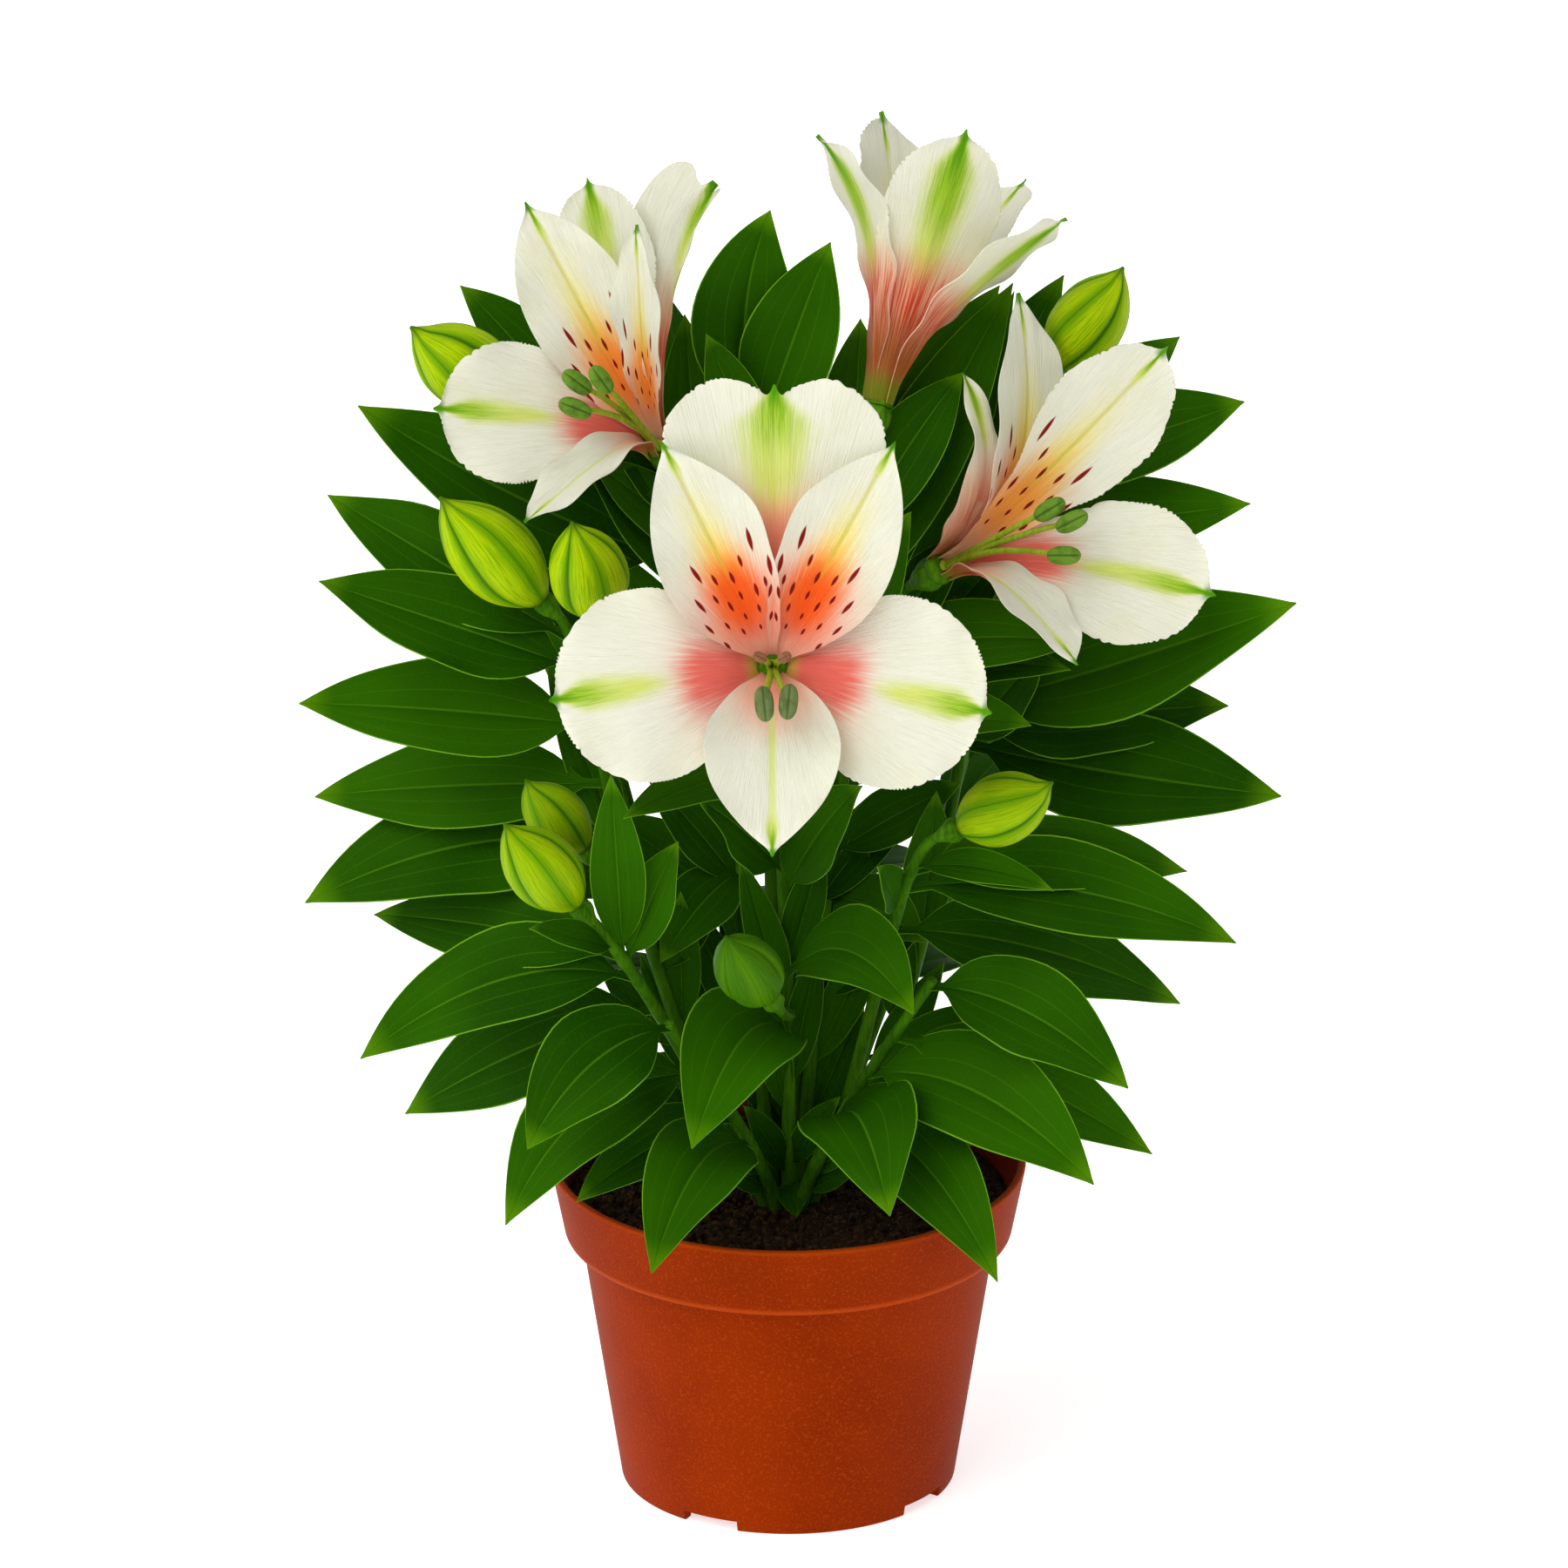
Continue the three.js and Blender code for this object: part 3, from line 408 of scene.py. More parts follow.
BLOOMS = (
    BloomPlan(
        "bloom_front", seen(-4, 202, -46), seen_offset(0, 0, 1), 12,
        (
            outer(0.5, 69, 13, 55, 0, HEART, TOP), outer(-54, -8.5, 13, 48, 0, ROUND, SIDE),
            outer(53, -11.5, 13, 48, 0, ROUND, SIDE), inner(-27, 54.5, 19, 31, OVAL),
            inner(30, 54.5, 19, 31, OVAL, hand=-1), inner(0, -46.5, 20, 34, OVAL, LIP),
        ),
        (
            stamen(-2, -9.5, 24, 0.1, -1, 0.1), stamen(4, -9, 24, -0.1, -1, 0.1),
            stamen(-3, 2, 20, -0.6, 0.3, 0.8, spent=True), stamen(3, 2, 20, 0.6, 0.3, 0.8, spent=True),
        ),
        0.2, 1.0, False,
    ),
    BloomPlan(
        "bloom_upper_left", seen(-31, 255, 8), seen_offset(-0.38, 0.55, 0.74), 17,
        (
            outer(-19, 67.5, -2, 26, kind=TOP), outer(-56, 11, 20, 36, -35),
            outer(13.5, 67, 4, 18, 0, FLARED, FOLDED, lean=0.8, fold=3.2, sway=(3, 34, -8)),
            inner(-34, 61.5, 18, 27), inner(-7, 55.5, 30, 15, hand=-1),
            inner(-34, -17, 34, 16, kind=LIP, sway=(4, 1, 0)),
        ),
        (
            stamen(-21.5, 17.5, 26, -0.75, 0.55, 0.35), stamen(-22, 11, 28, -0.9, 0.35, 0.3),
            stamen(-15.5, 18, 30, -0.5, 0.7, 0.5),
        ),
        warmth=0.5,
    ),
    BloomPlan(
        "bloom_top", seen(22, 267, 10), seen_offset(0.22, 0.96, -0.1), 22,
        (
            outer(-13.5, 66.5, 4, 27, 0, FUNNEL, bow=0.9, sway=(2, 0, 0)),
            outer(22, 67, 14, 30, 0, FUNNEL, sway=(1, 0, 0)),
            outer(46, 46, 2, 34, 0, FUNNEL, sway=(0, -2, 0)),
            inner(1.5, 72.5, -28, 25, SPOON, sway=(6, 0, 0)), inner(36.5, 56, -26, 28, SPOON),
            inner(16, 58, -36, 20),
        ),
        (stamen(8, 38, -2, 0.2, 1, 0), stamen(14, 36, -3, 0.4, 1, 0), stamen(11, 34, -6, 0.3, 1, -0.3)),
        warmth=0.0,
    ),
    BloomPlan(
        "bloom_right", seen(37, 226, 6), seen_offset(0.6, 0.35, 0.72), 19,
        (
            outer(6.5, 49, 14, 19, 0, TWISTED, FOLDED, sway=(9, 8, 2)), outer(30, 38, 2, 20, kind=FOLDED),
            outer(68, -6, 20, 37, 25, sway=(0, 3, 0)), inner(20.5, 68, 12, 22, bow=0.6, sway=(12, 0, -8)),
            inner(56.5, 54.5, 18, 30, SPOON, hand=-1), inner(34.5, -23, 38, 20, kind=LIP),
        ),
        (
            stamen(28, 15, 24, 0.85, 0.5, 0.3), stamen(33.5, 12, 26, 0.9, 0.45, 0.3),
            stamen(31.5, 3.5, 28, 1, 0, 0.4),
        ),
    ),
)

BUDS = (
    BudPlan("bud_left", seen(-62, 219, -14), seen(-87, 243, -20), 10.2),
    BudPlan("bud_left_inner", seen(-46, 215, -24), seen(-54, 237, -34), 9.6),
    BudPlan("bud_upper_left", seen(-69, 269, 15), seen(-94.5, 285.5, 11), 10.2),
    BudPlan("bud_low_left", seen(-53, 143, -46), seen(-71, 162, -54), 8.8, 0.8),
    BudPlan("bud_low_left_small", seen(-51, 157, -28), seen(-66, 173, -32), 7.4, 0.7),
    BudPlan("bud_upper_right", seen(67, 277, 31), seen(84, 301, 30), 9.2),
    BudPlan("bud_right", seen(43, 162, -40), seen(66, 172, -48), 8.8, 0.8),
    BudPlan("bud_front", seen(-5, 120, -46), seen(-16, 134, -62), 8, 0.0),
)

FLOWERS = {plan.name: plan for plan in (*BLOOMS, *BUDS)}

STEMS = (
    StemPlan(
        "stem_front", (0, -6), seen(1, 130, -12),
        leaves(
            (0.3, 31, 116, -66, 24, 0.35), (0.22, -24, 82, -76, 29, 0.38), (0.62, -41, 164, -62, 14, 0.1),
            (0.45, -23, 169, -36, 20, 0.1), (0.42, 17, 172, -34, 18, 0.1),
        ),
        flower="bloom_front", lead=34, branches=(BranchPlan("bud_front", 0.22, 12),),
        inner_leaves=leaves(
            (0.02, 2, 64, -18, 8, 0.2), (0.03, -11, 92, -18, 8, 0.05), (0.04, 12, 94, -17, 8, 0.05),
            (0.1, -9, 128, -14, 9, 0.03), (0.14, 8, 134, -13, 9, 0.03), (0.24, -12, 154, -17, 10, 0.03),
            (0.3, 9, 158, -16, 10, 0.03),
        ),
    ),
    StemPlan(
        "stem_left", (-8, -2), seen(-42, 125, -4),
        leaves(
            (0.88, -115, 245, 14, 25, 0.0), (0.8, -117, 223, -12, 25, 0.01),
            (0.68, -122, 193, -14, 27, 0.03), (0.58, -119, 170, 6, 26, 0.03), (0.5, -93, 179, 16, 15, 0.0),
            (0.48, -121, 143, -8, 31, 0.21),
        ),
        flower="bud_left", lead=14, branches=(BranchPlan("bud_left_inner", 0.82, 10),),
        inner_leaves=leaves(
            (0.3, -20, 150, 10, 14, 0.08), (0.42, -64, 150, 14, 15, 0.12), (0.05, -29, 106, 0, 11, 0.05),
            (0.14, -37, 130, 0, 11, 0.04), (0.22, -27, 146, -2, 10, 0.03), (0.46, -60, 202, 2, 12, 0.0),
            (0.2, -47, 125, 4, 11, 0.05),
        ),
    ),
    StemPlan(
        "stem_low_left", (-6, -7), seen(-28, 110, -22),
        leaves(
            (0.78, -64, 137, -68, 9, 0.02), (0.72, -44, 174, -58, 14, 0.02),
            (0.7, -28, 158, -46, 14, 0.04), (0.72, -104, 140, 0, 22, 0.07),
            (0.62, -107, 104, -32, 26, 0.29), (0.5, -97, 90, -12, 27, 0.1),
        ),
        flower="bud_low_left", lead=12, branches=(BranchPlan("bud_low_left_small", 0.75, 9),),
    ),
    StemPlan(
        "shoot_front_left", (-3, -11), seen(-8, 84, -20),
        leaves(
            (0.97, -65, 82, -68, 26, 0.26, -4), (0.7, -70.5, 62.5, -54, 26, 0.36, -9),
            (0.45, -53, 68, -38, 17, 0.2), (0.3, -34, 51, -95, 25, 0.3, -2),
        ),
        knee=seen(-20, 98, -32), top=seen(-30, 113, -38),
        inner_leaves=leaves((0.06, -21, 78, -22, 9, 0.12), (0.12, -27, 92, -20, 10, 0.08)),
    ),
    StemPlan(
        "stem_right", (8, -2), seen(46, 125, 4),
        leaves(
            (0.8, 98, 285, 48, 21, 0.04), (0.72, 69, 300, 50, 23, 0.05, -12),
            (0.84, 114, 268, 24, 26, -0.06), (0.74, 115, 243, 14, 22, -0.03),
            (0.54, 126, 218, -10, 33, -0.03), (0.52, 110, 193, 14, 26, 0.0), (0.5, 123, 170, -8, 32, -0.03),
        ),
        flower="bud_upper_right", lead=30,
        inner_leaves=leaves(
            (0.3, 30, 152, 12, 14, 0.08), (0.4, 70, 152, 16, 16, 0.12), (0.04, 30, 106, 2, 11, 0.05),
            (0.12, 39, 128, 4, 11, 0.04), (0.2, 28, 146, 8, 10, 0.03), (0.3, 37, 170, 0, 13, 0.02),
            (0.5, 64, 206, 6, 18, 0.04),
        ),
    ),
    StemPlan(
        "stem_right_bloom", (3, -1), seen(8, 140, 4),
        leaves((0.75, 73, 208, -16, 20, 0.1), (0.6, 60, 188, -20, 18, 0.1), (0.36, 34, 133, -14, 17, 0.2)),
        flower="bloom_right", lead=26,
        inner_leaves=leaves(
            (0.22, 40, 146, 12, 15, 0.12), (0.16, -6, 124, 14, 14, 0.12), (0.5, 52, 202, 10, 15, 0.1),
            (0.06, 19, 118, 6, 11, 0.04), (0.14, 25, 140, 6, 11, 0.03), (0.26, 20, 164, 10, 11, 0.03),
            (0.42, 43, 173, 8, 15, 0.05), (0.6, 60, 238, 14, 17, 0.02), (0.72, 70, 202, -8, 16, 0.06),
            (0.75, 44, 236, 10, 16, -0.04), (0.9, 56.5, 296, 44, 14, -0.05),
        ),
    ),
    StemPlan(
        "stem_low_right", (6, -7), seen(22, 106, -18),
        leaves(
            (0.8, 66, 146, -60, 9, 0.15), (0.78, 100, 151, -10, 21, 0.12), (0.72, 112, 133, -24, 25, 0.17),
            (0.6, 99, 118, -6, 25, 0.12), (0.66, 23, 152, -46, 11, 0.02),
        ),
        flower="bud_right", lead=14,
    ),
    StemPlan(
        "shoot_front_right", (3, -11), seen(8, 84, -20),
        leaves(
            (0.97, 85, 97, -54, 25, 0.24), (0.78, 91, 80, -32, 22, 0.12), (0.62, 76, 73, -70, 29, 0.28),
            (0.5, 56, 116, -14, 15, 0.15), (0.4, 52, 49, -84, 24, 0.3, 2), (0.38, 25, 66, -86, 30, 0.4),
            (0.2, 51, 83, -16, 12, 0.2),
        ),
        knee=seen(20, 100, -32), top=seen(36, 124, -40),
        inner_leaves=leaves((0.06, 21, 79, -22, 9, 0.12), (0.12, 25, 94, -20, 10, 0.08)),
    ),
    StemPlan(
        "stem_top_bloom", (1, 4), seen(4, 150, 8),
        leaves(
            (0.68, 56, 298, 36, 23, 0.04), (0.75, 53, 298, 54, 21, 0.13), (0.6, 43, 275, 27, 17, 0.1),
            (0.8, 43.5, 275.5, 18, 19, 0.1), (0.84, 18, 289, 34, 18, 0.06), (0.6, 30, 240, -8, 17, 0.1),
        ),
        flower="bloom_top", lead=40,
        inner_leaves=leaves(
            (0.18, 16, 152, 22, 15, 0.08), (0.3, 36, 176, 22, 15, 0.1), (0.5, 44, 226, 18, 16, 0.08),
            (0.42, -14, 208, 26, 14, 0.08), (0.03, 13, 112, 11, 12, 0.05), (0.03, -10, 110, 11, 12, 0.05),
            (0.1, 16, 138, 9, 11, 0.03),
        ),
    ),
    StemPlan(
        "stem_upper_left_bloom", (-4, 1), seen(-12, 140, 4),
        leaves(
            (0.7, -51, 252, 6, 17, 0.1), (0.8, -26, 290, 34, 17, 0.08), (0.6, -16, 240, -8, 17, 0.1),
            (0.36, -32, 128, -12, 17, 0.2),
        ),
        flower="bloom_upper_left", lead=26,
        branches=(
            BranchPlan(
                "bud_upper_left", 0.66, 18,
                leaves((0.6, -82, 297, 32, 21, 0.12), (0.3, -107, 267, 10, 32, -0.09)),
            ),
        ),
        inner_leaves=leaves(
            (0.3, -48, 166, 22, 16, 0.1), (0.22, -34, 122, 16, 15, 0.15), (0.52, -40, 214, 14, 15, 0.08),
            (0.42, 8, 176, 20, 14, 0.1), (0.08, -17, 120, 4, 10, 0.03), (0.14, -27, 146, 8, 11, 0.04),
            (0.24, -18, 170, 10, 11, 0.03), (0.34, -35, 174, 4, 14, 0.08), (0.5, -48, 234, 10, 18, 0.05),
            (0.85, -46, 267, 12, 16, 0.03), (0.8, -49, 254, 4, 15, 0.0),
        ),
    ),
    StemPlan(
        "shoot_top", (-3, 7), seen(-4, 150, 10),
        leaves(
            (1, -4.5, 315.5, 22, 27, 0.04, -9), (0.96, 10.5, 307.5, 14, 24, 0.06),
            (0.9, -20, 284, 8, 14, 0.08), (0.8, 12, 262, 44, 18, 0.1), (0.72, -22, 246, 40, 18, 0.1),
        ),
        knee=seen(-6, 220, 18), top=seen(-8, 262, 20),
        inner_leaves=leaves(
            (0.16, -16, 150, 22, 15, 0.08), (0.3, 14, 186, 26, 15, 0.08), (0.45, -30, 204, 30, 15, 0.1),
            (0.6, 4, 250, 30, 15, 0.08), (0.04, 5, 126, 14, 11, 0.03), (0.1, -11, 142, 15, 11, 0.03),
            (0.2, 7, 170, 17, 11, 0.03),
        ),
    ),
)


@dataclass(frozen=True)
class BackShoots:
    """The leafy shoots on the side away from the front, whose bearings fan round the back.

    Each pair holds the value at the lowest leaf of a shoot and at its topmost one.
    """

    roots: tuple = ((7, 4), (4, 9), (-1, 12.5), (-7, 11), (-9, 5))
    first_bearing: float = 38
    bearing_step: float = 26
    heights: tuple = (196, 244, 218, 250, 200)
    reaches: tuple = (60, 52, 60, 50, 60)
    leaf_count: int = 6
    bend_share: float = 0.3
    knee_inwards: float = 8
    knee_drop: float = 40
    share: tuple = (0.26, 1)
    turn: tuple = (12, 32)
    pitch: tuple = (-20, 62)
    length: tuple = (60, 50)
    width: tuple = (21, 18)
    arch: tuple = (0.3, 0.12)
    low_leaves: tuple = (
        leaves((0.15, 48, 99, 22, 17, 0.2)), (), (), (), leaves((0.15, -48, 97, 22, 17, 0.2)),
    )

    def plans(self, soil_top: float) -> list[StemPlan]:
        """Returns the plans of the shoots, one behind the other round the back."""
        return [self._plan(index, soil_top) for index in range(len(self.roots))]

    def _plan(self, index: int, soil_top: float) -> StemPlan:
        """Returns the plan of one shoot."""
        bearing = self.first_bearing + self.bearing_step * index
        out = heading(bearing)
        x, y = self.roots[index]
        foot = vec(x, y, soil_top)
        top = out * self.reaches[index] + vec(0, 0, self.heights[index])
        bend = foot + (top - foot) * self.bend_share
        knee = top - out * self.knee_inwards - vec(0, 0, self.knee_drop)
        grown = (*self.low_leaves[index], *(self._leaf(index, i, bearing) for i in range(self.leaf_count)))
        return StemPlan(f"shoot_back_{index + 1}", (x, y), bend, grown, knee=knee, top=top)

    def _leaf(self, index: int, i: int, bearing: float) -> LeafPlan:
        """Returns the plan of one leaf of a shoot; they turn left and right by turns."""
        rise = i / (self.leaf_count - 1)
        hand = 0 if i == self.leaf_count - 1 else ((i + index) % 2) * 2 - 1
        pitch = math.radians(between(self.pitch, rise * rise))
        length = between(self.length, rise)
        reach = heading(bearing + hand * between(self.turn, rise)) * length * math.cos(pitch)
        reach[2] = length * math.sin(pitch)
        share, width, arch = (between(pair, rise) for pair in (self.share, self.width, self.arch))
        return LeafPlan(share, None, width, arch, reach, True)


def heading(bearing: float) -> Vec:
    """Returns the level direction of a bearing in degrees from +X."""
    angle = math.radians(bearing)
    return vec(math.cos(angle), math.sin(angle), 0)


def between(pair: tuple, share: float) -> float:
    """Returns the value at a share of the way between two."""
    return pair[0] + (pair[1] - pair[0]) * share


# Node trees


def srgb(red: float, green: float, blue: float) -> tuple[float, float, float, float]:
    """Turns a colour of 0 to 255 a channel into the linear one that shaders use."""
    shares = [channel / 255 for channel in (red, green, blue)]
    linear = [s / 12.92 if s <= 0.04045 else ((s + 0.055) / 1.055) ** 2.4 for s in shares]
    return (*linear, 1.0)


def operator_for(operation: str, is_swapped: bool = False) -> Callable:
    """Makes a method of Wire that adds a math node for the wire and another value."""

    def method(wire: "Wire", other: "Value" = 0.0) -> "Wire":
        """Adds the node."""
        pair = (other, wire) if is_swapped else (wire, other)
        return wire.nodes.math(operation, *pair)

    return method


@dataclass(frozen=True)
class Wire:
    """A node's output. Arithmetic with it adds math nodes."""

    nodes: "Nodes"
    socket: bpy.types.NodeSocket

    __add__ = operator_for("ADD")
    __radd__ = operator_for("ADD", True)
    __sub__ = operator_for("SUBTRACT")
    __rsub__ = operator_for("SUBTRACT", True)
    __mul__ = operator_for("MULTIPLY")
    __truediv__ = operator_for("DIVIDE")
    __abs__ = operator_for("ABSOLUTE")


Value = Wire | float | tuple


class Nodes:
    """Writes the nodes of a tree."""

    def __init__(self, tree: bpy.types.NodeTree) -> None:
        """Starts with no sockets of the tree's own."""
        self.tree = tree
        self.keys: dict[str, str] = {}

    def put(self, socket: bpy.types.NodeSocket, value: Value) -> None:
        """Links a wire to a socket, or sets a plain value on it."""
        if isinstance(value, Wire):
            self.tree.links.new(value.socket, socket)
        else:
            socket.default_value = value

    def add(self, kind: str, inputs: dict, output: int | str = 0, **settings) -> Wire:
        """Adds a node.

        Args:
            kind: Its type.
            inputs: Wires and values for its inputs, by name or number.
            output: Name or number of the output to return.
            settings: Its properties.

        Returns:
            The output.
        """
        node = self.tree.nodes.new(kind)
        for name, value in settings.items():
            setattr(node, name, value)
        for name, value in inputs.items():
            self.put(node.inputs[name], value)
        return Wire(self, node.outputs[output])

    def math(self, operation: str, a: Value, b: Value = 0.0) -> Wire:
        """Adds a math node."""
        return self.add("ShaderNodeMath", {0: a, 1: b}, operation=operation)

    def enter(self, **kinds: str) -> list[Wire]:
        """Adds a group's inputs by name and kind, and returns them."""
        for name, kind in kinds.items():
            socket = self.tree.interface.new_socket(name, in_out="INPUT", socket_type=f"NodeSocket{kind}")
            self.keys[name] = socket.identifier
        entry = self.tree.nodes.new("NodeGroupInput")
        return [Wire(self, entry.outputs[name]) for name in kinds]

    def leave(self, kind: str, result: Wire) -> None:
        """Adds a group's one output."""
        self.tree.interface.new_socket("Result", in_out="OUTPUT", socket_type=f"NodeSocket{kind}")
        self.put(self.tree.nodes.new("NodeGroupOutput").inputs[0], result)

    def dress(self, shape: Wire, material: Wire) -> None:
        """Ends a geometry group with its shape made real, in a material."""
        real = self.add("GeometryNodeRealizeInstances", {"Geometry": shape}, "Geometry")
        dressed = self.add("GeometryNodeSetMaterial", {"Geometry": real, "Material": material}, "Geometry")
        self.leave("Geometry", dressed)

    def run(self, holder: Object, **values) -> Mesh:
        """Returns what a geometry group makes of an object, with the group's inputs by name."""
        modifier = holder.modifiers.new("Nodes", "NODES")
        modifier.node_group = self.tree
        for name, value in values.items():
            modifier[self.keys[name]] = value
        mesh = evaluated_mesh(holder)
        holder.modifiers.clear()
        return mesh


class Shader(Nodes):
    """Writes one material's nodes."""

    def __init__(self, name: str) -> None:
        """Makes a material of a name with its surface and output."""
        self.material = bpy.data.materials.new(name)
        self.material.use_nodes = True
        super().__init__(self.material.node_tree)
        self.tree.nodes.clear()
        self.surface = self.tree.nodes.new("ShaderNodeBsdfPrincipled")
        output = self.tree.nodes.new("ShaderNodeOutputMaterial")
        self.tree.links.new(self.surface.outputs["BSDF"], output.inputs["Surface"])

    def rise(self, value: Value, low: float, high: float) -> Wire:
        """Adds a smooth rise from 0 at low to 1 at high, or a fall where low is above high."""
        ends = (low, high, 0.0, 1.0) if low < high else (high, low, 1.0, 0.0)
        inputs = dict(zip(("From Min", "From Max", "To Min", "To Max"), ends), Value=value)
        return self.add("ShaderNodeMapRange", inputs, "Result", interpolation_type="SMOOTHSTEP")

    def band(self, value: Value, start: float, full: float, fading: float, end: float) -> Wire:
        """Adds a band that rises between the first two values and falls between the last two."""
        return self.rise(value, start, full) * self.rise(value, end, fading)

    def bell(self, value: Wire, middle: float, reach: Value) -> Wire:
        """Adds a soft line: 1 at the middle, 0 where the value is a reach away from it."""
        return self.rise(abs(value - middle) / reach, 1.0, 0.0)

    def mix(self, share: Value, a: Value, b: Value) -> Wire:
        """Adds a mix of two colours."""
        return self.add("ShaderNodeMix", {0: share, 6: a, 7: b}, 2, data_type="RGBA")

    def noise(self, vector: Wire, scale: float, detail: float = 3.0, roughness: float = 0.55) -> Wire:
        """Adds noise of about 0 to 1."""
        inputs = {"Vector": vector, "Scale": scale, "Detail": detail, "Roughness": roughness}
        return self.add("ShaderNodeTexNoise", inputs, "Fac")

    def place(self, stretch: tuple[float, float, float] = (1, 1, 1)) -> Wire:
        """Adds the place on the object in metres, stretched along its axes."""
        place = self.add("ShaderNodeTexCoord", {}, "Object")
        return self.add("ShaderNodeMapping", {"Vector": place, "Scale": stretch}, "Vector")

    def part(self, vector: Wire, axis: int) -> Wire:
        """Adds one of the three values of a vector."""
        return self.add("ShaderNodeSeparateXYZ", {0: vector}, axis)

    def uv(self) -> tuple[Wire, Wire]:
        """Adds the two coordinates of the UV map."""
        place = self.add("ShaderNodeUVMap", {}, "UV", uv_map="UVMap")
        return self.part(place, 0), self.part(place, 1)

    def joined(self, x: Value, y: Value, z: Value = 0.0) -> Wire:
        """Adds a vector from three values."""
        return self.add("ShaderNodeCombineXYZ", {0: x, 1: y, 2: z})

    def attribute(self, name: str) -> Wire:
        """Adds a number that the mesh carries."""
        return self.add("ShaderNodeAttribute", {}, "Fac", attribute_name=name)

    def finish(
        self, color: Value, roughness: Value, relief: Wire | None = None, depth: float = 0.0001,
        strength: float = 0.5, **values: Value,
    ) -> Material:
        """Connects the colour, roughness and relief to the surface.

        Args:
            color: Colour or output.
            roughness: Number or output.
            relief: Height for the bump, if any.
            depth: Height of the relief in metres.
            strength: Strength of the bump.
            values: Other sockets of the surface, with underscores for spaces.

        Returns:
            The material.
        """
        if relief is not None:
            inputs = {"Distance": depth, "Strength": strength, "Height": relief}
            values["Normal"] = self.add("ShaderNodeBump", inputs, "Normal")
        for name, value in {"Base Color": color, "Roughness": roughness, **values}.items():
            self.put(self.surface.inputs[name.replace("_", " ")], value)
        return self.material


# Finishes


# A leaf's side veins: where each runs from midrib to margin, how far it reaches, and how strong it is.
VEIN_LINES = ((0.37, 0.02, 0.42), (0.7, 0.016, 0.22))


@dataclass(frozen=True)
class LeafFinish:
    """Green leaf blades with lighter veins, a thin pale margin and a duller underside."""

    deep: tuple = srgb(20, 64, 0)
    bright: tuple = srgb(46, 100, 0)
    vein: tuple = srgb(92, 150, 26)
    margin: tuple = srgb(128, 184, 40)
    tip: tuple = srgb(86, 138, 6)
    under: tuple = srgb(38, 84, 6)
    gloss: tuple = (0.75, 1.0, 0.35, 1.0)

    def build(self) -> Material:
        """Builds the material."""
        shader = Shader("leaf")
        mix, rise = shader.mix, shader.rise
        along, across = shader.uv()
        aside = abs(across * 2.0 - 1.0)
        tone = shader.attribute("tone")
        streaks = shader.noise(shader.joined(along * 2.0, across, tone), 46)
        mottle = shader.noise(shader.joined(along * 3.0, across, tone), 26, 4, 0.7)
        lightness = tone * 0.5 + shader.noise(shader.place(), 32, 2) * 0.75 + along * 0.22
        color = mix(rise(lightness, 0.2, 1.15), self.deep, self.bright)
        color = mix(rise(mottle, 0.5, 0.75) * 0.35, color, self.bright)
        color = mix(rise(streaks, 0.5, 0.85) * 0.22, color, self.bright)
        color = mix(rise(along, 0.88, 1.0), color, self.tip)
        veins = self._veins(shader, aside, along)
        color = mix(veins * 0.52, color, self.vein)
        color = mix(rise(aside, 0.962, 0.99) * 0.85, color, self.margin)
        under = mix(veins * 0.5, self.under, self.vein)
        under = mix(streaks * 0.35, under, self.deep)
        color = mix(shader.attribute("back"), color, under)
        return shader.finish(
            color, 0.44 + streaks * 0.2, streaks + mottle - veins * 0.8, 0.00022, 0.6,
            Specular_IOR_Level=0.05, Specular_Tint=self.gloss,
        )

    def _veins(self, shader: Shader, aside: Wire, along: Wire) -> Wire:
        """Adds the midrib and the side veins, which fade at both ends of the leaf."""
        lines = shader.bell(aside, 0.0, 0.04)
        for place, reach, strength in VEIN_LINES:
            lines = shader.math("MAXIMUM", lines, shader.bell(aside, place, reach) * strength)
        return lines * shader.band(along, 0.0, 0.06, 0.86, 1.0)


@dataclass(frozen=True)
class StemFinish:
    """Green stalks with fine lengthwise streaks and lighter patches."""

    name: str
    deep: tuple = srgb(34, 80, 2)
    bright: tuple = srgb(76, 130, 10)
    gloss: tuple = (0.8, 1.0, 0.4, 1.0)

    def build(self) -> Material:
        """Builds the material."""
        shader = Shader(self.name)
        streaks = shader.noise(shader.place((1, 1, 0.06)), 1100)
        share = streaks * 0.5 + shader.noise(shader.place(), 60, 2) * 0.6
        color = shader.mix(shader.rise(share, 0.3, 0.85), self.deep, self.bright)
        return shader.finish(
            color, 0.42 + streaks * 0.16, streaks, 0.0002, 0.5,
            Specular_IOR_Level=0.06, Specular_Tint=self.gloss,
        )


# The pointed dashes on a marked tepal: along from its base, aside of its midrib, length and width, all as
# shares of the tepal's length or width.
DASHES = (
    (0.52, -0.142, 0.11, 0.022), (0.4, -0.168, 0.092, 0.022), (0.485, 0.112, 0.1, 0.021),
    (0.405, -0.012, 0.062, 0.018), (0.325, -0.078, 0.066, 0.018), (0.29, -0.152, 0.06, 0.017),
    (0.37, 0.152, 0.08, 0.019), (0.305, 0.044, 0.055, 0.016), (0.2, -0.1, 0.044, 0.014),
    (0.275, 0.16, 0.06, 0.016), (0.19, 0.042, 0.038, 0.013), (0.175, -0.028, 0.03, 0.012),
    (0.185, 0.125, 0.042, 0.014), (0.455, -0.07, 0.062, 0.017), (0.43, 0.055, 0.06, 0.017),
    (0.36, 0.085, 0.05, 0.016), (0.345, -0.125, 0.05, 0.016), (0.325, -0.012, 0.046, 0.015),
    (0.25, -0.055, 0.044, 0.014), (0.245, 0.09, 0.042, 0.014), (0.225, -0.135, 0.04, 0.014),
    (0.24, 0.008, 0.036, 0.013),
)


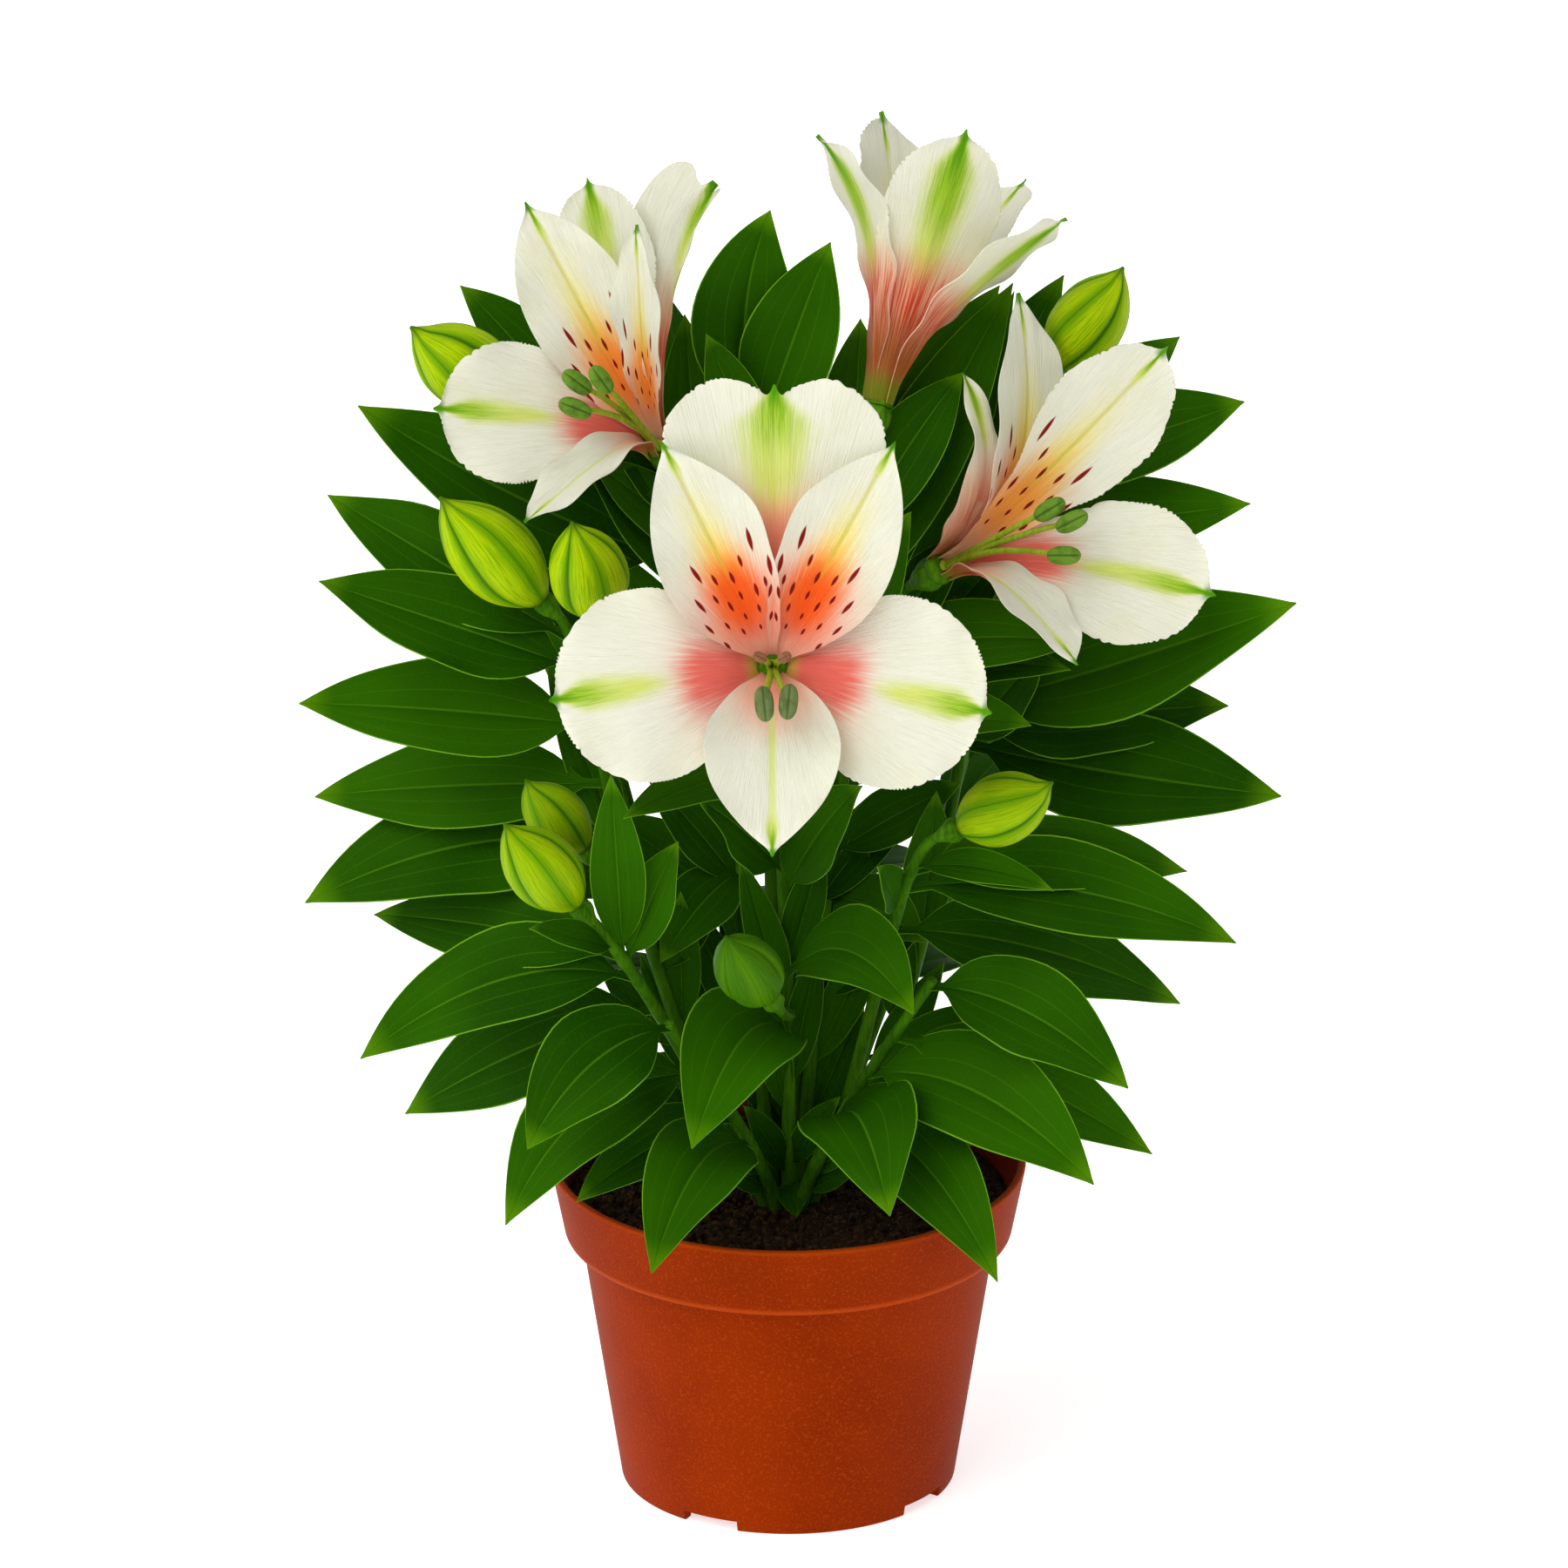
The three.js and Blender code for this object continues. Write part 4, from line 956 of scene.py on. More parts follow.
def dash_group() -> bpy.types.NodeTree:
    """Builds the node group that draws one pointed dash, which leans away from the tepal's base."""
    nodes = Nodes(bpy.data.node_groups.new("Dash", "ShaderNodeTree"))
    names = ("Along", "Aside", "Middle Along", "Middle Aside", "Lean", "Length", "Width")
    inputs = nodes.enter(**dict.fromkeys(names, "Float"))
    along, aside, middle_along, middle_aside, lean, length, width = inputs
    along = along - middle_along
    crosswise = abs(aside - middle_aside - along * lean) / width
    lengthwise = along / length
    share = (1.0 - lengthwise * lengthwise - crosswise) * 3.0
    share.socket.node.use_clamp = True
    nodes.leave("Float", share)
    return nodes.tree


@dataclass(frozen=True)
class TepalPlace:
    """Where a point of a tepal lies, the streaks there, how warm its marks are, and masks made of these."""

    shader: Shader
    along: Wire
    aside: Wire
    streaks: Wire
    fine: Wire
    warmth: Wire

    @classmethod
    def on(cls, shader: Shader) -> "TepalPlace":
        """Adds the outputs that all the marks are drawn with."""
        along, across = shader.uv()
        aside = across - 0.5
        spread = aside / (along + 0.12)
        streaks = shader.noise(shader.joined(along * 1.2, spread * 22.0), 3.2)
        fine = shader.noise(shader.joined(along * 1.8, spread * 64.0), 3.2)
        return cls(shader, along, aside, streaks, fine, shader.attribute("tone"))

    def feathered(self, mask: Wire, amount: float) -> Wire:
        """Breaks a mask into streaks at its edges."""
        return self.shader.rise(mask - self.shader.rise(self.streaks, 0.4, 0.7) * 0.25, -0.05, 0.9) * amount

    def blot(self, reach: Value, far: float, near: float, amount: float = 1.0) -> Wire:
        """Adds a mask: 1 on the midrib towards the near share, 0 a reach aside or from the far share on."""
        return self.shader.bell(self.aside, 0.0, reach) * self.shader.rise(self.along, far, near) * amount

    def patch(self, reach: float, *shares: float) -> Wire:
        """Adds a mask along the midrib: a band between four shares of the length."""
        return self.shader.bell(self.aside, 0.0, reach) * self.shader.band(self.along, *shares)


@dataclass(frozen=True)
class TepalFinish:
    """White tepals with green, coral and orange marks, each kind with its own, and a faint painted glow of
    their own colour that lifts their shade.
    """

    kind: TepalKind
    white: tuple = srgb(230, 229, 210)
    cream: tuple = srgb(221, 220, 184)
    vein: tuple = srgb(206, 206, 168)
    lime: tuple = srgb(206, 218, 84)
    green: tuple = srgb(146, 188, 12)
    deep_green: tuple = srgb(80, 146, 0)
    coral: tuple = srgb(232, 96, 82)
    pink: tuple = srgb(244, 150, 122)
    peach: tuple = srgb(248, 190, 136)
    amber: tuple = srgb(250, 172, 62)
    orange: tuple = srgb(251, 96, 18)
    ember: tuple = srgb(240, 70, 14)
    yellow: tuple = srgb(240, 224, 92)
    olive: tuple = srgb(204, 194, 66)
    red: tuple = srgb(214, 64, 44)
    brown: tuple = srgb(150, 86, 26)
    dark: tuple = srgb(132, 18, 10)

    def build(self, dash: bpy.types.NodeTree) -> Material:
        """Builds the material of this kind, with the node group that draws one dash."""
        shader = Shader(f"tepal_{self.kind.value}")
        mix, rise = shader.mix, shader.rise
        at = TepalPlace.on(shader)
        pale = mix(rise(shader.noise(shader.place(), 60, 2), 0.4, 0.85) * 0.5, self.white, self.cream)
        pale = mix(rise(at.fine, 0.52, 0.7) * 0.32, pale, self.vein)
        marks = {
            TOP: self._top, SIDE: self._side, FOLDED: self._folded, MARKED: self._marked, LIP: self._lip,
        }
        front = marks[self.kind](at, pale)
        if self.kind is MARKED:
            front = self._dashed(at, front, dash)
        color = mix(shader.attribute("back"), front, self._back(at, pale))
        color = mix(at.blot(0.04, 0.965, 0.99), color, self.deep_green)
        # The tepals also emit their own colour faintly: a painted glow that lifts the shade on them, standing
        # in for light passing through.
        return shader.finish(
            color, 0.5 + at.fine * 0.15, at.fine, 0.0004, 0.8,
            Specular_IOR_Level=0.08, Emission_Color=color, Emission_Strength=0.07,
        )

    def _stripe(
        self, at: TepalPlace, color: Wire, start: float, full: float, reach: float, deep: float
    ) -> Wire:
        """Lays the green stripe along the midrib.

        Args:
            at: Where the point lies.
            color: Colour under it.
            start: Share of the tepal where its lime halo starts.
            full: Share where the halo has its full colour, a little past the start of the green.
            reach: Half its breadth against twice the tepal's width.
            deep: Share where the green is full, a little past the start of its deep green core.

        Returns:
            The colour with the stripe, which narrows to a point at the tip.
        """
        mix, rise = at.shader.mix, at.shader.rise
        taper = (rise(at.along, 1.0, 0.84) * 0.8 + 0.2) * (0.7 + at.streaks * 0.6)
        width = taper * ((0.5 + rise(at.along, start, deep) * 0.5) * reach)
        color = mix(at.feathered(at.blot(width, start, full), 0.85), color, self.lime)
        inside = at.blot(width * 0.7, full - 0.08, deep)
        color = mix(at.feathered(inside, 0.9), color, self.green)
        color = mix(rise(at.fine, 0.46, 0.6) * inside * 0.55, color, self.deep_green)
        return mix(at.feathered(at.blot(width * 0.5, deep - 0.1, 1.0), 0.95), color, self.deep_green)

    def _foot(self, at: TepalPlace, color: Wire) -> Wire:
        """Tints the very base green, where the tepal leaves the tube."""
        return at.shader.mix(at.shader.rise(at.along, 0.13, 0.05) * 0.6, color, self.olive)

    def _top(self, at: TepalPlace, pale: Wire) -> Wire:
        """Colours a broad upper tepal."""
        color = at.shader.mix(at.blot(0.17, 0.78, 0.5, 0.9), pale, self.peach)
        color = self._stripe(at, color, 0.42, 0.72, 0.17, 0.98)
        return self._foot(at, at.shader.mix(at.blot(0.15, 0.64, 0.45, 0.95), color, self.pink))

    def _side(self, at: TepalPlace, pale: Wire) -> Wire:
        """Colours a broad side tepal, whose coral blotch is shorter on a warm bloom."""
        color = at.shader.mix(at.blot(0.24, 0.6, 0.2, 0.4), pale, self.pink)
        color = self._stripe(at, color, 0.34, 0.66, 0.085, 0.95)
        blotch = replace(at, along=at.along + at.warmth * 0.1).blot(0.17, 0.64, 0.4)
        return self._foot(at, at.shader.mix(at.feathered(blotch, 0.95), color, self.coral))

    def _marked(self, at: TepalPlace, pale: Wire) -> Wire:
        """Colours an inner tepal, which glows yellow and orange under its dashes."""
        mix, rise = at.shader.mix, at.shader.rise
        color = mix(at.blot(0.5, 0.58, 0.14, 0.9), pale, mix(at.warmth, self.peach, self.pink))
        color = mix(at.patch(0.13, 0.16, 0.36, 0.5, 0.9) * 0.8, color, self.yellow)
        glow = at.patch(0.23, 0.08, 0.3, 0.36, 0.72) * rise(at.warmth, -0.9, 0.8)
        blaze = mix(at.warmth, self.amber, self.orange)
        blaze = mix(rise(at.along, 0.36, 0.58), blaze, self.amber)
        color = mix(at.feathered(glow, 0.95), color, blaze)
        color = mix(at.patch(0.14, 0.08, 0.22, 0.36, 0.54) * (at.warmth * 0.6), color, self.ember)
        rib = at.patch(0.016, 0.34, 0.55, 0.85, 1.0) * (rise(at.warmth, -0.2, 0.3) * 0.6)
        return self._stripe(at, mix(rib, color, self.olive), 0.8, 0.92, 0.06, 0.97)

    def _lip(self, at: TepalPlace, pale: Wire) -> Wire:
        """Colours the lowest inner tepal."""
        color = at.shader.mix(at.blot(0.26, 0.5, 0.16, 0.95), pale, self.pink)
        rib = at.patch(0.026, 0.12, 0.4, 0.75, 1.0)
        color = at.shader.mix(at.feathered(rib, 0.7), color, self.lime)
        return self._stripe(at, color, 0.74, 0.88, 0.06, 0.95)

    def _folded(self, at: TepalPlace, pale: Wire) -> Wire:
        """Colours a tepal that is seen folded or from its edge."""
        mix = at.shader.mix
        color = self._stripe(at, pale, 0.56, 0.72, 0.09, 0.9)
        color = mix(at.blot(0.5, 0.72, 0.34, 0.85), color, self.peach)
        lines = at.shader.rise(at.streaks, 0.36, 0.6) * at.blot(0.5, 0.62, 0.3, 0.9)
        return mix(at.blot(0.6, 0.26, 0.08, 0.75), mix(lines, color, self.coral), self.brown)

    def _back(self, at: TepalPlace, pale: Wire) -> Wire:
        """Colours the outside of every tepal, red-streaked towards its base."""
        mix = at.shader.mix
        color = mix(at.blot(0.5, 0.85, 0.3, 0.35), pale, self.yellow)
        color = self._stripe(at, color, 0.3, 0.56, 0.19, 0.8)
        color = mix(at.blot(0.6, 0.6, 0.36, 0.8), color, self.pink)
        lines = at.shader.rise(at.streaks, 0.38, 0.58) * at.blot(0.6, 0.62, 0.36)
        color = mix(lines, color, self.red)
        color = mix(at.blot(0.7, 0.44, 0.14, 0.85), color, self.brown)
        return mix(at.blot(0.7, 0.14, 0.04, 0.6), color, self.deep_green)

    def _dashed(self, at: TepalPlace, color: Wire, dash: bpy.types.NodeTree) -> Wire:
        """Draws the dashes, which lie further out on a cooler bloom."""
        moved = at.along - (1.0 - at.warmth) * 0.08
        marks = 0.0
        for along, aside, length, width in DASHES:
            inputs = {
                "Along": moved, "Aside": at.aside, "Middle Along": along, "Middle Aside": aside,
                "Lean": 0.8 * aside / (along + 0.1), "Length": length / 2, "Width": width / 2,
            }
            share = at.shader.add("ShaderNodeGroup", inputs, node_tree=dash)
            marks = at.shader.math("MAXIMUM", marks, share)
        return at.shader.mix(marks, color, self.dark)


@dataclass(frozen=True)
class BudFinish:
    """Lime buds with streaked panels between dark seams; an unripe one is a deeper green."""

    panel: tuple = srgb(178, 208, 2)
    base: tuple = srgb(112, 164, 0)
    seam: tuple = srgb(52, 104, 2)
    unripe: tuple = srgb(54, 108, 2)
    gloss: tuple = (0.9, 1.0, 0.4, 1.0)

    def build(self) -> Material:
        """Builds the material."""
        shader = Shader("bud")
        mix, rise = shader.mix, shader.rise
        along, around = shader.uv()
        from_seam, from_third = (
            0.5 - abs(shader.math("FRACT", around * count) - 0.5) for count in (6.0, 3.0)
        )
        streaks = shader.noise(shader.joined(along * 1.5, around * 46.0), 3.0)
        tone = shader.attribute("tone")
        color = mix(rise(from_seam, 0.04, 0.34), self.base, mix(tone, self.unripe, self.panel))
        color = mix(rise(streaks, 0.46, 0.62) * 0.7, color, self.base)
        color = mix(rise(tone, 1.0, 0.0) * 0.7, color, self.unripe)
        color = mix(rise(from_seam + streaks * 0.04, 0.07, 0.03) * 0.5, color, self.seam)
        color = mix(rise(from_third, 0.05, 0.015) * 0.6, color, self.seam)
        ends = shader.math("MAXIMUM", rise(along, 0.84, 0.99), rise(along, 0.14, 0.0))
        color = mix(ends * 0.75, color, self.seam)
        return shader.finish(
            color, 0.4 + streaks * 0.18, streaks, 0.0005, 0.7,
            Specular_IOR_Level=0.12, Specular_Tint=self.gloss,
        )


@dataclass(frozen=True)
class AntherFinish:
    """Ribbed green anthers with a grey dusting of pollen."""

    name: str
    green: tuple = srgb(102, 150, 14)
    grey: tuple = srgb(108, 114, 78)
    groove: tuple = srgb(50, 78, 14)

    def build(self) -> Material:
        """Builds the material."""
        shader = Shader(self.name)
        grain = shader.noise(shader.place(), 2600, 2)
        patches = shader.noise(shader.place(), 420, 2)
        color = shader.mix(shader.attribute("tone"), self.grey, self.green)
        color = shader.mix(shader.rise(patches, 0.45, 0.7) * 0.45, color, self.groove)
        groove = shader.bell(shader.math("FRACT", shader.uv()[1] * 2.0), 0.5, 0.09)
        color = shader.mix(groove * 0.8, color, self.groove)
        return shader.finish(color, 0.62 + grain * 0.2, grain, 0.0002, 0.7, Specular_IOR_Level=0.2)


@dataclass(frozen=True)
class PotFinish:
    """Terracotta-coloured moulded plastic with a fine grain, a little lighter along its edges."""

    body: tuple = srgb(145, 44, 0)
    light: tuple = srgb(188, 72, 14)
    dark: tuple = srgb(131, 37, 0)
    gloss: tuple = (1.0, 0.62, 0.35, 1.0)

    def build(self) -> Material:
        """Builds the material."""
        shader = Shader("pot_plastic")
        mix, rise = shader.mix, shader.rise
        place = shader.place()
        grain = shader.noise(place, 1500, 2)
        patches = shader.noise(place, 26)
        height = shader.part(place, 2)
        color = mix(rise(patches, 0.35, 0.75), self.body, self.dark)
        color = mix(rise(grain, 0.5, 0.7) * 0.38, color, self.light)
        edges = shader.math("MAXIMUM", rise(height, 0.0835, 0.0848), shader.bell(height, 0.0668, 0.0014))
        color = mix(edges * 0.6, color, self.light)
        color = mix(rise(height, 0.012, 0.0) * rise(patches, 0.4, 0.6) * 0.35, color, self.dark)
        return shader.finish(
            color, 0.42 + grain * 0.2, grain, 0.0004, 0.7,
            Specular_IOR_Level=0.03, Specular_Tint=self.gloss,
        )


@dataclass(frozen=True)
class SoilFinish:
    """Dark granular potting soil with brown bits of bark."""

    dark: tuple = srgb(42, 26, 12)
    brown: tuple = srgb(98, 66, 36)
    tan: tuple = srgb(128, 96, 62)

    def build(self) -> Material:
        """Builds the material."""
        shader = Shader("soil")
        mix, rise = shader.mix, shader.rise
        place = shader.place()
        grain = shader.noise(place, 700, 4)
        specks = shader.add("ShaderNodeTexVoronoi", {"Vector": place, "Scale": 420}, "Distance")
        tone = shader.attribute("tone")
        color = mix(rise(grain, 0.45, 0.75), self.dark, self.brown)
        color = mix(rise(tone, 0.7, 1.0) * 0.7, color, self.brown)
        color = mix(rise(tone, 0.955, 0.985) * 0.75, color, self.tan)
        color = mix(rise(specks, 0.12, 0.04) * 0.5, color, self.brown)
        return shader.finish(color, 0.84 + grain * 0.14, grain, 0.0006, 0.8, Specular_IOR_Level=0.2)


@dataclass(frozen=True)
class Finishes:
    """Every material of the plant, each built once."""

    leaf: Material
    stem: Material
    ovary: Material
    filament: Material
    anther: Material
    spent: Material
    bud: Material
    pot: Material
    soil: Material
    tepals: dict[TepalKind, Material]

    @classmethod
    def build(cls) -> "Finishes":
        """Builds the materials."""
        dash = dash_group()
        tan, rust = srgb(150, 104, 70), srgb(104, 44, 30)
        return cls(
            leaf=LeafFinish().build(),
            stem=StemFinish("stem").build(),
            ovary=StemFinish("ovary", srgb(44, 96, 6), srgb(98, 152, 22)).build(),
            filament=StemFinish("filament", srgb(112, 142, 20), srgb(176, 190, 60)).build(),
            anther=AntherFinish("anther").build(),
            spent=AntherFinish("anther_spent", tan, tan, rust).build(),
            bud=BudFinish().build(),
            pot=PotFinish().build(),
            soil=SoilFinish().build(),
            tepals={kind: TepalFinish(kind).build(dash) for kind in TepalKind},
        )


# Meshes


class Skin:
    """Collects grids and rings of faces into one mesh, with their UVs, materials, tones and sides."""

    def __init__(self) -> None:
        """Starts with no points and no faces."""
        self.materials: list[Material] = []
        self._points: list[Vec] = []
        self._tones: list[Vec] = []
        self._backs: list[Vec] = []
        self._faces: list[list[int]] = []
        self._corners: list[Vec] = []
        self._slots: list[int] = []
        self._count = 0

    def _vertices(self, points: Vec, tone: float | Vec, back: float) -> int:
        """Adds vertices and returns the number of the first."""
        start = self._count
        self._points.append(points)
        self._tones.append(np.broadcast_to(np.asarray(tone, dtype=float), len(points)))
        self._backs.append(np.full(len(points), back))
        self._count += len(points)
        return start

    def _slot(self, material: Material) -> int:
        """Returns the slot of a material, which is new where the mesh hasn't had it."""
        if material not in self.materials:
            self.materials.append(material)
        return self.materials.index(material)

    def _add_faces(self, faces: Vec, corners: Vec, material: Material) -> None:
        """Adds faces by the numbers of their vertices, with the UVs of their corners."""
        self._faces.extend(faces.tolist())
        self._corners.append(corners.reshape(-1, 2))
        self._slots.extend([self._slot(material)] * len(faces))

    def blade(self, front: Vec, back: Vec, uv: Vec, material: Material, tone: float) -> None:
        """Adds a thin closed blade from two grids of points.

        Args:
            front: Upper face, rows by columns, in mm.
            back: Lower face, point for point under the upper one.
            uv: UV of each point of the grid.
            material: Its material.
            tone: Share that tells its colour from its neighbours'.
        """
        rows, columns = front.shape[:2]
        size = rows * columns
        top = self._vertices(front.reshape(-1, 3), tone, 0.0)
        self._vertices(back.reshape(-1, 3), tone, 1.0)
        index = np.arange(size).reshape(rows, columns)
        a, b = index[:-1, :-1].ravel(), index[1:, :-1].ravel()
        c, d = index[1:, 1:].ravel(), index[:-1, 1:].ravel()
        upper = np.stack([a, b, c, d], axis=1)
        lower = np.stack([a, d, c, b], axis=1) + size
        edge = np.concatenate([index[:, 0], index[-1, 1:], index[-2::-1, -1], index[0, -2:0:-1]])
        after = np.roll(edge, -1)
        wall = np.stack([edge, edge + size, after + size, after], axis=1)
        faces = np.concatenate([upper, lower, wall])
        self._add_faces(faces + top, uv.reshape(-1, 2)[faces % size], material)

    def tube(
        self, grid: Vec, material: Material, tone: float | Vec = 0.5, ends: tuple[Vec, Vec] | None = None
    ) -> None:
        """Adds a closed skin over rings of points.

        Args:
            grid: Rings by points, each ring anticlockwise as seen from the far end, in mm.
            material: Its material.
            tone: Share that tells its colour from its neighbours'.
            ends: Points that close the two ends, or None for the middles of the end rings.
        """
        rows, sides = grid.shape[:2]
        first, last = ends if ends is not None else (grid[0].mean(axis=0), grid[-1].mean(axis=0))
        start = self._vertices(np.concatenate([grid.reshape(-1, 3), [first, last]]), tone, 0.0)
        i, j = (index.ravel() for index in np.indices((rows - 1, sides)))
        k = (j + 1) % sides
        faces = np.stack([i * sides + j, i * sides + k, (i + 1) * sides + k, (i + 1) * sides + j], axis=1)
        u0, u1, v0, v1 = i / (rows - 1), (i + 1) / (rows - 1), j / sides, (j + 1) / sides
        self._add_faces(faces + start, np.stack([u0, v0, u0, v1, u1, v1, u1, v0], axis=1), material)
        j = np.arange(sides)
        k, v0, v1 = (j + 1) % sides, j / sides, (j + 1) / sides
        far, middle = (rows - 1) * sides, (v0 + v1) / 2
        for end, a, b, va, vb in ((0, k, j, v1, v0), (1, far + j, far + k, v0, v1)):
            cap = np.stack([np.full(sides, rows * sides + end), a, b], axis=1)
            u = np.full(sides, end)
            self._add_faces(cap + start, np.stack([u, middle, u, va, u, vb], axis=1), material)

    def take(self, mesh: Mesh, material: Material, tone: str = "") -> None:
        """Adds the faces of a finished mesh, whose places are in metres.

        Args:
            mesh: Mesh to copy.
            material: Material for its faces.
            tone: Name of its attribute that holds a tone, if any.
        """
        count = len(mesh.vertices)
        places = np.empty(count * 3)
        mesh.vertices.foreach_get("co", places)
        tones = np.full(count, 0.5)
        if tone:
            mesh.attributes[tone].data.foreach_get("value", tones)
        start = self._vertices(places.reshape(-1, 3) / MM, tones, 0.0)
        faces = [[vertex + start for vertex in polygon.vertices] for polygon in mesh.polygons]
        self._faces.extend(faces)
        self._corners.append(np.zeros((sum(len(face) for face in faces), 2)))
        self._slots.extend([self._slot(material)] * len(faces))

    def build(self, name: str) -> Object:
        """Builds the object, in metres, and links it to the scene.

        Args:
            name: Name of the object.

        Returns:
            The object.
        """
        mesh = bpy.data.meshes.new(name)
        points = np.concatenate(self._points) * MM
        mesh.from_pydata(points.tolist(), [], self._faces)
        layer = mesh.uv_layers.new(name="UVMap")
        layer.data.foreach_set("uv", np.concatenate(self._corners).ravel())
        for attribute, values in (("tone", self._tones), ("back", self._backs)):
            data = mesh.attributes.new(attribute, "FLOAT", "POINT")
            data.data.foreach_set("value", np.concatenate(values))
        for material in self.materials:
            mesh.materials.append(material)
        mesh.polygons.foreach_set("material_index", self._slots)
        mesh.polygons.foreach_set("use_smooth", [True] * len(mesh.polygons))
        mesh.update()
        piece = bpy.data.objects.new(name, mesh)
        bpy.context.scene.collection.objects.link(piece)
        return piece


def hand_over(piece: Object, node: str) -> None:
    """Puts a finished piece in the place of its node, on the plant's body."""
    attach(piece, "root")
    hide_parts(node)
    triangles = sum(len(polygon.vertices) - 2 for polygon in piece.data.polygons)
    LOG.info("%s: %d triangles", piece.name, triangles)


def cross_frame(aim: Vec) -> tuple[Vec, Vec]:
    """Returns two directions square to a direction and to each other."""
    helper = vec(1, 0, 0) if abs(aim[0]) < 0.7 else vec(0, 1, 0)
    side = unit(helper - aim * np.dot(helper, aim))
    return side, np.cross(aim, side)


def rings(centres: Vec, radii: Vec, side: Vec, other: Vec) -> Vec:
    """Lays a ring of points round each centre.

    Args:
        centres: Middle of each ring.
        radii: Radius of each point, rings by points.
        side: Direction of the first point.
        other: Direction a quarter turn on.

    Returns:
        Rings by points by coordinates.
    """
    angles = full_turn(radii.shape[1])
    round_about = np.cos(angles)[:, None] * side + np.sin(angles)[:, None] * other
    return centres[:, None, :] + radii[:, :, None] * round_about[None, :, :]


class TubeNodes(Nodes):
    """Geometry Nodes that turn curves into closed tubes, as thick as the radius of their points."""

    def __init__(self) -> None:
        """Makes the tree."""
        super().__init__(bpy.data.node_groups.new("Stalks", "GeometryNodeTree"))
        lines, sides, material = self.enter(Geometry="Geometry", Sides="Int", Material="Material")
        circle = self.add("GeometryNodeCurvePrimitiveCircle", {"Resolution": sides, "Radius": 1.0}, "Curve")
        radius = self.add("GeometryNodeInputRadius", {}, "Radius")
        inputs = {"Curve": lines, "Profile Curve": circle, "Scale": radius, "Fill Caps": True}
        self.dress(self.add("GeometryNodeCurveToMesh", inputs, "Mesh"), material)

    def sweep(self, lines: list[tuple[Vec, Vec]], sides: int, material: Material) -> Mesh:
        """Makes the tubes along lines.

        Args:
            lines: Points in mm and the radius at each, for each tube.
            sides: Count of sides of the tubes.
            material: Their material.

        Returns:
            A mesh in metres.
        """
        curve = bpy.data.curves.new("stalk_lines", "CURVE")
        curve.dimensions = "3D"
        for points, radii in lines:
            line = curve.splines.new("POLY")
            line.points.add(len(points) - 1)
            line.points.foreach_set("co", np.column_stack([points * MM, np.ones(len(points))]).ravel())
            line.points.foreach_set("radius", np.asarray(radii) * MM)
        holder = bpy.data.objects.new("stalk_lines", curve)
        bpy.context.scene.collection.objects.link(holder)
        mesh = self.run(holder, Sides=sides, Material=material)
        bpy.data.objects.remove(holder)
        bpy.data.curves.remove(curve)
        return mesh


def evaluated_mesh(holder: Object) -> Mesh:
    """Returns a plain mesh of an object as its modifiers leave it."""
    bpy.context.view_layer.update()
    graph = bpy.context.evaluated_depsgraph_get()
    return bpy.data.meshes.new_from_object(holder.evaluated_get(graph))


# Pot and soil


